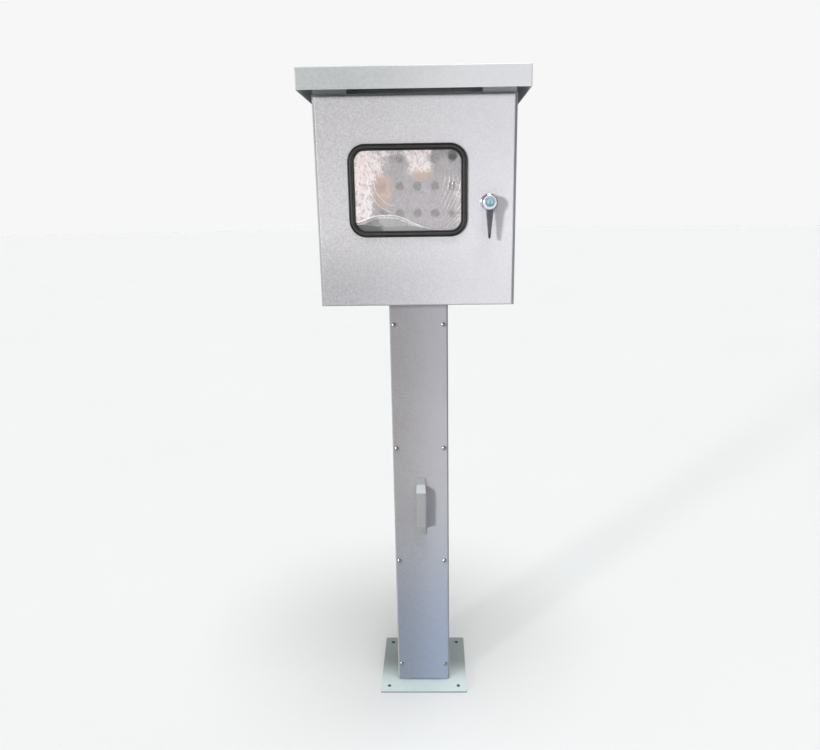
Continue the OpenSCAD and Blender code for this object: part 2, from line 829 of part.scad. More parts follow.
// Round head with a tapering arm that hangs from it
module lever_handle() color([0.8, 0.81, 0.82]) {
    r = lever_head_d / 2;
    run = lever_l - arm_tip / 2;
    difference() {
        union() {
            bar_y(lock_x, lock_mid_z, r, lever_front + 2, lever_back);
            bar_y(lock_x, lock_mid_z, r - 2, lever_front, lever_front + 2);
            front_to_back(arm_front, arm_front + arm_t) translate([lock_x, lock_mid_z]) {
                polygon([[-arm_root / 2, 0], [arm_root / 2, 0], [arm_tip / 2, -run], [-arm_tip / 2, -run]]);
                translate([0, -run]) circle(arm_tip / 2);
            }
        }
        bar_y(lock_x, lock_mid_z, barrel_r + turn_gap, lever_front - 1, lever_front + barrel_depth);
    }
}

module lever_spindle() color([0.7, 0.7, 0.72]) {
    bar_y(lock_x, lock_mid_z, spindle_r, lever_back, cam_front);
    front_to_back(cam_front, cam_front + cam_t)
        translate([lock_x, lock_mid_z]) square(cam_hole, center = true);
}

// Key cylinder with a keyway
module key_barrel() color([0.72, 0.76, 0.82]) {
    difference() {
        bar_y(lock_x, lock_mid_z, barrel_r, lever_front - 1, lever_front + barrel_depth - face_gap);
        translate([lock_x - 1, lever_front - 2, lock_mid_z - 4.5]) cube([2, 7, 9]);
    }
}

// Cam stands upright at rest and swings behind the cabinet frame when the lever turns
module lock_cam() color([0.7, 0.7, 0.72]) {
    front_to_back(cam_front, cam_front + cam_t) translate([lock_x, lock_mid_z]) difference() {
        union() {
            circle(cam_w / 2);
            translate([-cam_w / 2, 0]) square([cam_w, cam_l]);
        }
        square(cam_hole, center = true);
    }
}

module cam_screw() color([0.8, 0.8, 0.82]) {
    translate([lock_x, cam_front + cam_t, lock_mid_z]) rotate([-90, 0, 0]) dome_head(6, 3.5);
}

// Inverted tray: top sheet with four folded edges
module canopy() color([0.82, 0.82, 0.84]) {
    t = canopy_t;
    difference() {
        folded_box(canopy_w, canopy_y0, canopy_y1, canopy_low - 2 * fold_r, canopy_high, fold_r);
        folded_box(canopy_w - 2 * t, canopy_y0 + t, canopy_y1 - t, canopy_low - 4 * fold_r,
            canopy_ceiling, fold_r - 1.2);
        translate([-canopy_w, canopy_y0 - 5, canopy_low - 5 * fold_r])
            cube([2 * canopy_w, canopy_y1 - canopy_y0 + 10, 5 * fold_r]);
        for (p = spacer_spots) {
            translate([p[0], p[1] * spacer_y, canopy_ceiling - 1]) cylinder(r = 3 + bolt_gap, h = t + 2);
        }
    }
}

// Channels between cabinet and canopy, each with its web towards the outside
module canopy_spacers() color([0.8, 0.8, 0.82]) {
    h = canopy_ceiling - box_top;
    for (p = spacer_spots) translate([p[0], p[1] * spacer_y, box_top]) difference() {
        mirror([0, p[1] > 0 ? 1 : 0, 0]) difference() {
            translate([-spacer_w / 2, -spacer_d / 2, 0]) cube([spacer_w, spacer_d, h]);
            translate([-spacer_w, -spacer_d / 2 + spacer_t, spacer_t])
                cube([2 * spacer_w, spacer_d, h - 2 * spacer_t]);
        }
        translate([0, 0, -1]) cylinder(r = 3 + bolt_gap, h = h + 2);
    }
}

module spacer_bolts() color([0.78, 0.78, 0.8]) {
    for (p = spacer_spots) translate([p[0], p[1] * spacer_y, box_top + spacer_t]) {
        hex_z(10, 4);
        translate([0, 0, -spacer_t - box_sheet - 8]) cylinder(r = 3, h = spacer_t + box_sheet + 8);
    }
}

module spacer_nuts() color([0.78, 0.78, 0.8]) {
    for (p = spacer_spots) {
        translate([p[0], p[1] * spacer_y, box_top - box_sheet - 5]) nut_z(3, 10, 5);
    }
}

module canopy_screws() color([0.8, 0.8, 0.82]) {
    for (p = spacer_spots) translate([p[0], p[1] * spacer_y, canopy_high + 1.5]) {
        dome_head(6, 3.6);
        translate([0, 0, -14]) cylinder(r = 3, h = 14);
    }
}

module canopy_washers() color([0.12, 0.12, 0.12]) {
    for (p = spacer_spots) translate([p[0], p[1] * spacer_y, canopy_high]) difference() {
        cylinder(r = 8, h = 1.5);
        translate([0, 0, -1]) cylinder(r = 3 + thread_gap, h = 4);
    }
}

module canopy_nuts() color([0.78, 0.78, 0.8]) {
    for (p = spacer_spots) {
        translate([p[0], p[1] * spacer_y, canopy_ceiling - spacer_t - 5]) nut_z(3, 10, 5);
    }
}

base_plate();
post_channel();
post_top_plate();
post_pad();
post_cover();
cover_screws();
cover_nuts();
cover_handle();
handle_screws();
cabinet_body();
cabinet_bolts();
cabinet_nuts();
gland_plate();
gland_plate_screws();
cable_glands();
gland_locknuts();
earth_stud();
earth_nuts();
mounting_studs();
mounting_plate();
mounting_nuts();
din_rail();
rail_screws();
terminal_blocks();
earth_terminal();
end_stops();
panel_bracket_left();
panel_bracket_right();
inner_panel();
panel_screws();
panel_nuts();
door_shell();
door_gasket();
window_seal();
seal_locking_strip();
window_pane();
protective_film();
hinge_frame_leaves();
hinge_door_leaves();
hinge_pins();
hinge_screws();
lock_housing();
lock_nut();
lever_handle();
lever_spindle();
key_barrel();
lock_cam();
cam_screw();
canopy();
canopy_spacers();
spacer_bolts();
spacer_nuts();
canopy_screws();
canopy_washers();
canopy_nuts();
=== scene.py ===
"""Finishes and fine pieces of a street fire alarm cabinet on its pedestal.

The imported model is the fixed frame. Sheet metal, brackets and fasteners keep their own meshes and
get a finish each. The window seal, its locking strip, the protective film, the lock and the cover's
pull are made here as fine meshes that stand for the plain solids of the frame, and a weld is added
round the post's foot. All places come from the frame's own boxes, in metres, with Z up and the
front facing -Y.
"""

import json
import math

import bmesh
import bpy
import numpy as np
from bpy.props import FloatProperty, FloatVectorProperty, IntProperty, PointerProperty
from bpy.types import Operator, Panel, PropertyGroup
from mathutils import Matrix, Vector


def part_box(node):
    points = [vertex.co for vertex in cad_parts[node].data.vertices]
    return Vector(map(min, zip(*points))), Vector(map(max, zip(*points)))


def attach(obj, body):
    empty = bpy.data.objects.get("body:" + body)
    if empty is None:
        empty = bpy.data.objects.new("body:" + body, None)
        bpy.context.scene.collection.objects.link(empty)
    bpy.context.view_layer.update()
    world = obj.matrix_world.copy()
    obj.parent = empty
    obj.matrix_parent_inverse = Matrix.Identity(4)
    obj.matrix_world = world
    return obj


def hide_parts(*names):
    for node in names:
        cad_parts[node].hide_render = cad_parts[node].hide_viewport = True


bl_info = {
    "name": "Street alarm cabinet",
    "version": (1, 0, 0),
    "blender": (4, 5, 0),
    "location": "View3D > Sidebar > Alarm cabinet",
    "description": "Finishes, window, lock and pull of a street alarm cabinet",
    "category": "Add Mesh",
}

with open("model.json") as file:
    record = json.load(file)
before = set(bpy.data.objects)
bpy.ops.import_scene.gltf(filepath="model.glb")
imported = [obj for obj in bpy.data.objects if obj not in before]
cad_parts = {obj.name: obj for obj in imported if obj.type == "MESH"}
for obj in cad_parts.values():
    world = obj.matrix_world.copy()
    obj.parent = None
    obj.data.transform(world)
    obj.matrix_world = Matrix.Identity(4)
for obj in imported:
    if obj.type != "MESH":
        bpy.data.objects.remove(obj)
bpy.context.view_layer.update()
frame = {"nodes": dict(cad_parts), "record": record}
MM = 0.001
WHITE = (1.0, 1.0, 1.0)


def span(node):
    """Lowest and highest corner of a frame node, as arrays."""
    lo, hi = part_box(node)
    return np.array(lo), np.array(hi)


SEAL_LO, SEAL_HI = span("window_seal")
FILM_LO, FILM_HI = span("protective_film")
LEVER_LO, LEVER_HI = span("lever_handle")
ROSE_LO, ROSE_HI = span("lock_housing")
BARREL_LO, BARREL_HI = span("key_barrel")
PULL_LO, PULL_HI = span("cover_handle")
POST_LO, POST_HI = span("post_channel")
_, BASE_HI = span("base_plate")
DOOR_LO, _ = span("door_shell")
LOCK_X = (BARREL_LO[0] + BARREL_HI[0]) / 2
LOCK_Z = (BARREL_LO[2] + BARREL_HI[2]) / 2


# ---- values a user would change


def colour_value(name, description, default):
    """A colour that a user may change."""
    return FloatVectorProperty(
        name=name, description=description, subtype="COLOR", default=default, min=0, max=1)


class PaintValues(PropertyGroup):
    """Powder coat and metals."""

    # darker than the door's coat: painted shade for the strip of cabinet seen beside the door
    cabinet: colour_value("Cabinet", "Powder coat on the cabinet", (0.41, 0.41, 0.43))
    door: colour_value("Door", "Powder coat on the door", (0.70, 0.675, 0.69))
    canopy: colour_value("Canopy", "Powder coat on the rain canopy", (0.60, 0.60, 0.605))
    post: colour_value("Post", "Powder coat on the post", (0.38, 0.38, 0.39))
    cover: colour_value(
        "Post cover", "Powder coat on the post's front cover", (0.42, 0.41, 0.435))
    pull: colour_value("Pull", "Powder coat on the cover's pull", (0.335, 0.34, 0.345))
    base: colour_value("Base plate", "Powder coat on the base plate", (0.52, 0.595, 0.59))
    panel: colour_value("Inner panel", "Powder coat on the button panel", (0.66, 0.62, 0.655))
    peel: FloatProperty(
        name="Orange peel", description="Height of the coat's waves",
        default=0.22 * MM, min=0, max=MM, subtype="DISTANCE", unit="LENGTH", precision=5)
    speckle: FloatProperty(
        name="Speckle", description="Strength of the coat's light and dark grain",
        default=0.1, min=0, max=0.5, subtype="FACTOR")


class WindowValues(PropertyGroup):
    """Rubber seal, locking strip, pane and film."""

    rubber: colour_value("Rubber", "Colour of the window seal", (0.013, 0.012, 0.013))
    strip: colour_value(
        "Locking strip", "Colour of the strip in the seal", (0.05, 0.048, 0.05))
    crease: FloatProperty(
        name="Crease height", description="How high the film's creases stand",
        default=1.3 * MM, min=0, max=1.6 * MM, subtype="DISTANCE", unit="LENGTH", precision=5)
    haze: FloatProperty(
        name="Film haze", description="How solid the smooth part of the film looks",
        default=0.46, min=0.02, max=0.8, subtype="FACTOR")
    seed: IntProperty(
        name="Crease seed", description="Pattern of the film's creases", default=7, min=0)


class LockValues(PropertyGroup):
    """Swing lever, rose and key barrel."""

    chrome: colour_value("Chrome", "Colour of the plated lever and rose", (0.74, 0.75, 0.79))
    # the cyan is a painted reflection of blue light in the barrel's face
    barrel: colour_value("Key barrel", "Colour of the key barrel", (0.40, 0.80, 0.92))
    tip_width: FloatProperty(
        name="Lever tip", description="Width of the lever near its tip",
        default=5.2 * MM, min=4 * MM, max=7 * MM, subtype="DISTANCE", unit="LENGTH", precision=4)


def light_value(name, description, default):
    """A light's strength that a user may change."""
    return FloatProperty(name=name, description=description, default=default, min=0)


class StageValues(PropertyGroup):
    """Camera, light and floor."""

    camera_place: FloatVectorProperty(
        name="Camera", description="Where the camera stands", subtype="TRANSLATION",
        unit="LENGTH", default=(0.0465, -1.8725, 1.4366))
    camera_turn: FloatProperty(
        name="Heading", description="Camera's turn from straight ahead, to the right",
        default=math.radians(-1.042), subtype="ANGLE", unit="ROTATION")
    camera_tilt: FloatProperty(
        name="Tilt", description="Camera's tilt above the horizon",
        default=math.radians(-14.418), subtype="ANGLE", unit="ROTATION")
    camera_roll: FloatProperty(
        name="Roll", description="Camera's lean about its own line of sight",
        default=math.radians(-0.759), subtype="ANGLE", unit="ROTATION")
    lens: FloatProperty(
        name="Lens", description="Focal length on a 36 mm sensor", default=29.095,
        min=10, max=200, subtype="DISTANCE_CAMERA", unit="CAMERA")
    shift_x: FloatProperty(
        name="Shift X", description="Sideways shift of the picture", default=-0.0177)
    shift_y: FloatProperty(
        name="Shift Y", description="Upward shift of the picture", default=0.0085)
    key: light_value("Key light", "Strength of the large light on the left", 2.15)
    top: light_value("Top light", "Strength of the light from above", 2.9)
    back: light_value("Back light", "Strength of the light from behind", 0.5)
    room: light_value("Room light", "Strength of the even room light", 0.5)
    fill: FloatProperty(
        name="Fill light", description="Power of the soft box on the right",
        default=1.2, min=0, subtype="POWER", unit="POWER")


# ---- nodes


class Num:
    """A number socket. Arithmetic on it adds Math nodes to its tree."""

    def __init__(self, nodes, socket):
        self.nodes = nodes
        self.socket = socket

    def math(self, operation, *values):
        """The result of a new Math node on the values."""
        made = self.nodes.add(
            "ShaderNodeMath", {"operation": operation}, dict(enumerate(values)))
        return Num(self.nodes, made.outputs[0])

    def __add__(self, other):
        return self.math("ADD", self, other)

    __radd__ = __add__

    def __sub__(self, other):
        return self.math("SUBTRACT", self, other)

    def __rsub__(self, other):
        return self.math("SUBTRACT", other, self)

    def __mul__(self, other):
        return self.math("MULTIPLY", self, other)

    __rmul__ = __mul__

    def __pow__(self, power):
        return self.math("POWER", self, power)

    def __abs__(self):
        return self.math("ABSOLUTE", self)

    def sin(self):
        return self.math("SINE", self)

    def most(self, other):
        return self.math("MAXIMUM", self, other)

    def least(self, other):
        return self.math("MINIMUM", self, other)

    def step(self, low, high):
        """0 below low and 1 above high, with a smooth run between; low may lie above high."""
        made = self.nodes.add("ShaderNodeMapRange", {"interpolation_type": "SMOOTHSTEP"},
                              {0: self, 1: low, 2: high, 3: 0.0, 4: 1.0})
        return Num(self.nodes, made.outputs[0])

    def between(self, low, high):
        """The socket's 0 to 1 stretched to run from low to high."""
        return self * (high - low) + low


class Nodes:
    """A node tree that reads one kind of coordinates, with one method that adds any node."""

    def __init__(self, tree, coordinates):
        self.tree = tree
        tree.nodes.clear()
        self.point = self.add("ShaderNodeTexCoord", {}, {}).outputs[coordinates]

    def add(self, kind, settings, sockets):
        """Adds a node: its settings first, then a value or a link for each named socket."""
        made = self.tree.nodes.new(kind)
        for key, value in settings.items():
            setattr(made, key, value)
        for key, value in sockets.items():
            if isinstance(value, Num):
                value = value.socket
            if isinstance(value, bpy.types.NodeSocket):
                self.tree.links.new(value, made.inputs[key])
            else:
                if made.inputs[key].type == "RGBA" and len(value) == 3:
                    value = (*value, 1.0)
                made.inputs[key].default_value = value
        return made

    def axes(self, point=None):
        """The three numbers of a point, or of the tree's own coordinates."""
        split = self.add("ShaderNodeSeparateXYZ", {}, {0: point or self.point})
        return [Num(self, s) for s in split.outputs]

    def mix(self, share, first, second, how="MIX"):
        """Colour that runs from first to second as share goes from 0 to 1."""
        made = self.add("ShaderNodeMix", {"data_type": "RGBA", "blend_type": how},
                        {0: share, 6: first, 7: second})
        return made.outputs[2]

    def light_path(self, kind):
        """1 for the light rays of one kind and 0 for the others."""
        return Num(self, self.add("ShaderNodeLightPath", {}, {}).outputs[kind])

    def either(self, share, first, second, kind):
        """Ends the tree in two shaders, the second seen as share goes from 0 to 1."""
        both = self.add("ShaderNodeMixShader", {},
                        {0: share, 1: first.outputs[0], 2: second.outputs[0]})
        self.add(kind, {}, {0: both.outputs[0]})


class Finish(Nodes):
    """A material whose pattern stays with the piece it is on."""

    def __init__(self, name):
        self.material = bpy.data.materials.new(name)
        self.material.use_nodes = True
        super().__init__(self.material.node_tree, "Object")

    def placed(self, centre=(0, 0, 0), turn=(0, 0, 0), scale=(1, 1, 1)):
        """Object coordinates counted from a centre, turned and then scaled."""
        moved = self.add(
            "ShaderNodeVectorMath", {"operation": "SUBTRACT"}, {0: self.point, 1: tuple(centre)})
        made = self.add(
            "ShaderNodeMapping", {"vector_type": "POINT"},
            {0: moved.outputs[0], 2: tuple(turn), 3: tuple(scale)})
        return made.outputs[0]

    def noise(self, scale, detail=2.0, rough=0.5, warp=0.0, at=None):
        """Cloudy noise from 0 to 1, with scale waves to the metre."""
        made = self.add(
            "ShaderNodeTexNoise", {},
            {"Vector": at or self.point, "Scale": scale, "Detail": detail,
             "Roughness": rough, "Distortion": warp})
        return Num(self, made.outputs[0])

    def cells(self, scale, output):
        """Random cells: the distance from each one's centre, or its own colour."""
        made = self.add("ShaderNodeTexVoronoi", {}, {"Vector": self.point, "Scale": scale})
        return made.outputs[output]

    def bump(self, height, distance, strength):
        """A normal that follows a height, where 1 stands for the distance in metres."""
        return self.add("ShaderNodeBump", {}, {
            "Height": height, "Distance": distance, "Strength": strength}).outputs[0]

    def surface(self, **sockets):
        """Ends the tree in a Principled shader; an underscore in a name stands for a space."""
        named = {k.replace("_", " "): v for k, v in sockets.items()}
        shader = self.add("ShaderNodeBsdfPrincipled", {}, named)
        self.add("ShaderNodeOutputMaterial", {}, {0: shader.outputs[0]})
        return self.material


def shaded(colour, factor):
    """A colour made lighter or darker by one factor, kept from 0 to 1."""
    return tuple(min(1.0, max(0.0, c * factor)) for c in colour)


def tinted(colour, tint):
    """A colour multiplied by another, kept from 0 to 1."""
    return tuple(min(1.0, c * t) for c, t in zip(colour, tint))


# ---- finishes


def powder_coat(name, colour, peel, speckle, left=WHITE, right=WHITE, reach=0.25, fades=()):
    """Textured powder coat: orange-peel waves a few millimetres long, a light and dark grain of the
    same size that is stronger towards the left, cloudy tone over a hand's width, and a little dust.
    The colour runs from its left tint to its right tint over the reach on either side of the
    middle, as painted light and shade across the piece. Each painted light fade is (axis, start,
    end, tint, how much of it stays at the right end): painted shade or a painted highlight along
    one axis."""
    f = Finish(name)
    place = f.axes()
    across = place[0].step(-reach, reach)
    waves = f.noise(330.0, 2.0, 0.55, 0.2)
    spot = f.noise(204.6, 3.0, 0.6, 0.3)
    fine = f.noise(1500.0, 2.0, 0.6)
    cloud = f.noise(5.0, 3.0, 0.55, 0.6)
    mottle = f.noise(48.0, 4.0, 0.65, 0.4)
    # painted light and shade: the left and right tints darken one side and lighten the other
    tone = f.mix(across, tinted(colour, left), tinted(colour, right))
    cool = f.mix(0.5, tone, tinted(colour, (0.90, 0.93, 0.97)))
    tone = f.mix(cloud.step(0.25, 0.75) * 0.5, tone, cool)
    # painted shade and painted highlights: each of these darkens or lightens the tone along one
    # axis
    for axis, start, end, tint, stays in fades:
        amount = place[axis].step(start, end) * (1.0 - across * (1.0 - stays))
        tone = f.mix(amount, tone, tint, "MULTIPLY")
    spots = ((spot - 0.5) * 3.4 + (waves - 0.5) * 1.2 + (fine - 0.5)) * (1.35 - across * 0.95)
    light = spots * speckle + (mottle - 0.5) * 0.10 + 1.0
    grained = f.add("ShaderNodeVectorMath", {"operation": "SCALE"}, {0: tone, "Scale": light})
    dust = (cloud * mottle).step(0.28, 0.5) * 0.12
    return f.surface(
        Base_Color=f.mix(dust, grained.outputs[0], (0.52, 0.50, 0.46)),
        Roughness=waves.between(0.36, 0.5) + dust,
        Specular_IOR_Level=0.42,
        Normal=f.bump(waves * 0.7 + fine * 0.18 + mottle * 0.25, peel, 0.65),
    )


def chrome_plate(name, colour):
    """Bright plating: hairline scratches in two directions and a faint haze."""
    f = Finish(name)
    hair = f.noise(260.0, 3.0, 0.6, 0.0, f.placed(turn=(0, 0.5, 0), scale=(9, 9, 0.5)))
    haze = f.noise(90.0, 3.0, 0.6, 0.5)
    return f.surface(
        Base_Color=f.mix(haze.step(0.3, 0.75), colour, tinted(colour, (0.90, 0.92, 0.97))),
        Metallic=1.0,
        Roughness=haze.between(0.07, 0.17) + hair.step(0.62, 0.72) * 0.08,
        Normal=f.bump(hair * 0.3 + haze * 0.7, 0.02 * MM, 0.6),
    )


def lever_chrome(name, colour, centre):
    """Plated casting with scratches along the arm. Its colour holds painted reflections: a painted
    highlight on the dome, painted dark reflection where it turns over at the rim, and painted dark
    reflection down the arm towards a darker tip."""
    f = Finish(name)
    x, _, z = f.axes(f.placed(centre=centre))
    far = (x * x + z * z) ** 0.5
    haze = f.noise(90.0, 3.0, 0.6, 0.5)
    hair = f.noise(420.0, 3.0, 0.6, 0.0, f.placed(scale=(6, 6, 0.4)))
    # painted dark reflection round the dome's edge, weaker towards the lower left
    rim = far.step(15.8 * MM, 18.4 * MM) * (1.0 - (x * 60.0 + z * 25.0).step(-0.6, -1.1) * 0.5)
    arm = z.step(-17.0 * MM, -23.0 * MM)
    tip = z.step(-66.0 * MM, -84.0 * MM)
    # painted dark reflection down the arm, darkest at the tip
    dark_arm_reflection = f.mix(tip, tinted(colour, (0.34, 0.33, 0.36)), shaded(colour, 0.12))
    # painted highlight: a pale, bluish tone on the dome
    pale = tinted(colour, (1.22, 1.25, 1.26))
    dome = f.mix(rim * 0.88, f.mix(haze, pale, tinted(colour, (1.06, 1.14, 1.24))),
                 tinted(colour, (0.10, 0.09, 0.11)))
    return f.surface(
        Base_Color=f.mix(arm, dome, dark_arm_reflection),
        Metallic=1.0 - (1.0 - arm) * (1.0 - rim) * 0.45,
        Roughness=haze.between(0.1, 0.18) + arm * 0.12 + hair.step(0.6, 0.72) * 0.06,
        Normal=f.bump(hair * 0.4 + haze * 0.6, 0.02 * MM, 0.6),
    )


def turned_steel(name, colour, centre):
    """Turned face: fine rings about the barrel's own axis, with painted shade towards the rim and
    below.
    """
    f = Finish(name)
    x, _, z = f.axes(f.placed(centre=centre))
    far = (x * x + z * z) ** 0.5
    rings = (far * 9000.0).sin() * 0.5 + 0.5
    # painted shade towards the edge of the face, and below the axis
    rim = far.step(7.4 * MM, 9.2 * MM)
    low = z.step(-1.0 * MM, -6.5 * MM)
    wear = f.noise(300.0, 3.0, 0.6)
    tone = f.mix(rim * 0.75, f.mix(wear, colour, tinted(colour, (1.25, 1.12, 1.1))),
                 shaded(colour, 0.22))
    tone = f.mix(low * 0.6, tone, tinted(colour, (0.25, 0.32, 0.32)))
    return f.surface(
        Base_Color=tone, Metallic=0.45, Roughness=rings.between(0.2, 0.32),
        Normal=f.bump(rings * 0.4 + wear * 0.3, 0.02 * MM, 0.5),
    )


def rolled_zinc(name, colour):
    """Zinc-coated sheet: patches of crystal, each its own grey, with rolling lines across them."""
    f = Finish(name)
    patch = f.add("ShaderNodeSeparateColor", {}, {0: f.cells(110.0, "Color")})
    grey = Num(f, patch.outputs[0])
    lines = f.noise(60.0, 3.0, 0.6, 0.0, f.placed(scale=(1, 1, 14)))
    stain = f.noise(14.0, 3.0, 0.6, 0.8).step(0.45, 0.75)
    tone = f.mix(grey, shaded(colour, 0.78), shaded(colour, 1.08))
    return f.surface(
        Base_Color=f.mix(stain * 0.35, tone, shaded(colour, 0.62)),
        Metallic=0.88,
        Roughness=grey.between(0.3, 0.46) + stain * 0.12,
        Normal=f.bump(lines * 0.4 + grey * 0.6, 0.04 * MM, 0.4),
    )


def plated_fastener(name, colour, stain):
    """Plated screw or nut: thin rub marks and a stain where the plating dulls."""
    f = Finish(name)
    rub = f.noise(700.0, 4.0, 0.65, 0.3)
    dull = f.noise(120.0, 3.0, 0.55, 0.6).step(0.42, 0.7)
    bright = f.mix(rub, shaded(colour, 0.88), shaded(colour, 1.06))
    return f.surface(
        Base_Color=f.mix(dull * 0.55, bright, stain),
        Metallic=1.0,
        Roughness=rub.between(0.18, 0.34) + dull * 0.12,
        Normal=f.bump(rub, 0.03 * MM, 0.5),
    )


def black_rubber(name, colour, shine=0.42):
    """Extruded rubber: a fine matt grain and a grey bloom in soft patches."""
    f = Finish(name)
    grain = f.noise(1400.0, 3.0, 0.6)
    bloom = f.noise(38.0, 4.0, 0.6, 0.6).step(0.42, 0.78)
    black = f.mix(grain, shaded(colour, 0.75), shaded(colour, 1.3))
    return f.surface(
        Base_Color=f.mix(bloom * 0.4, black, tuple(c + 0.03 for c in colour)),
        Roughness=grain.between(shine - 0.06, shine + 0.1) + bloom * 0.08,
        Specular_IOR_Level=0.34,
        Normal=f.bump(grain * 0.5 + bloom * 0.5, 0.05 * MM, 0.5),
    )


def open_foam(name, colour):
    """Foamed gasket: small open cells, with painted shade in their pits."""
    f = Finish(name)
    depth = Num(f, f.cells(900.0, "Distance"))
    big = f.noise(160.0, 3.0, 0.6)
    return f.surface(
        # painted shade: darker towards each cell's middle, where its pit is
        Base_Color=f.mix(depth.step(0.1, 0.7), shaded(colour, 0.45), shaded(colour, 1.5)),
        Roughness=big.between(0.78, 0.95),
        Normal=f.bump(depth * 0.8 + big * 0.2, 0.3 * MM, 0.8),
    )


def moulded_plastic(name, colour):
    """Moulded plastic: spark-eroded grain and faint flow marks."""
    f = Finish(name)
    grain = f.noise(900.0, 3.0, 0.6)
    flow = f.noise(45.0, 3.0, 0.5, 1.2)
    return f.surface(
        Base_Color=f.mix(flow, shaded(colour, 0.88), shaded(colour, 1.1)),
        Roughness=grain.between(0.38, 0.55),
        Normal=f.bump(grain * 0.6 + flow * 0.4, 0.05 * MM, 0.5),
    )


def brass_bar(name, colour):
    """Turned brass with a brown tarnish."""
    f = Finish(name)
    tarnish = f.noise(150.0, 4.0, 0.6, 0.6).step(0.4, 0.75)
    rub = f.noise(900.0, 2.0, 0.6)
    return f.surface(
        Base_Color=f.mix(tarnish * 0.6, colour, (0.28, 0.17, 0.07)),
        Metallic=1.0,
        Roughness=rub.between(0.22, 0.36) + tarnish * 0.15,
        Normal=f.bump(rub, 0.03 * MM, 0.4),
    )


def clear_sheet(name):
    """Clear acrylic: nearly all see-through, with smears that dull the shine."""
    f = Finish(name)
    smear = f.noise(22.0, 4.0, 0.6, 1.0)
    dust = f.noise(600.0, 2.0, 0.7).step(0.68, 0.78)
    return f.surface(
        Base_Color=f.mix(dust, (0.62, 0.70, 0.67), (0.8, 0.8, 0.78)),
        Roughness=smear.between(0.02, 0.14),
        Alpha=dust * 0.10 + 0.10,
        Normal=f.bump(smear, 0.05 * MM, 0.15),
    )


def oval(u, w, middle, across, up):
    """How far out a point lies from an oval's middle: the squares of its two distances, each times
    its own factor, added up."""
    du, dw = u - middle[0], w - middle[1]
    return du * du * across + dw * dw * up


def crest(value, fall):
    """1 where a value is zero, and less by the fall for each step away from it."""
    return (1.0 - abs(value) * fall).most(0.0)


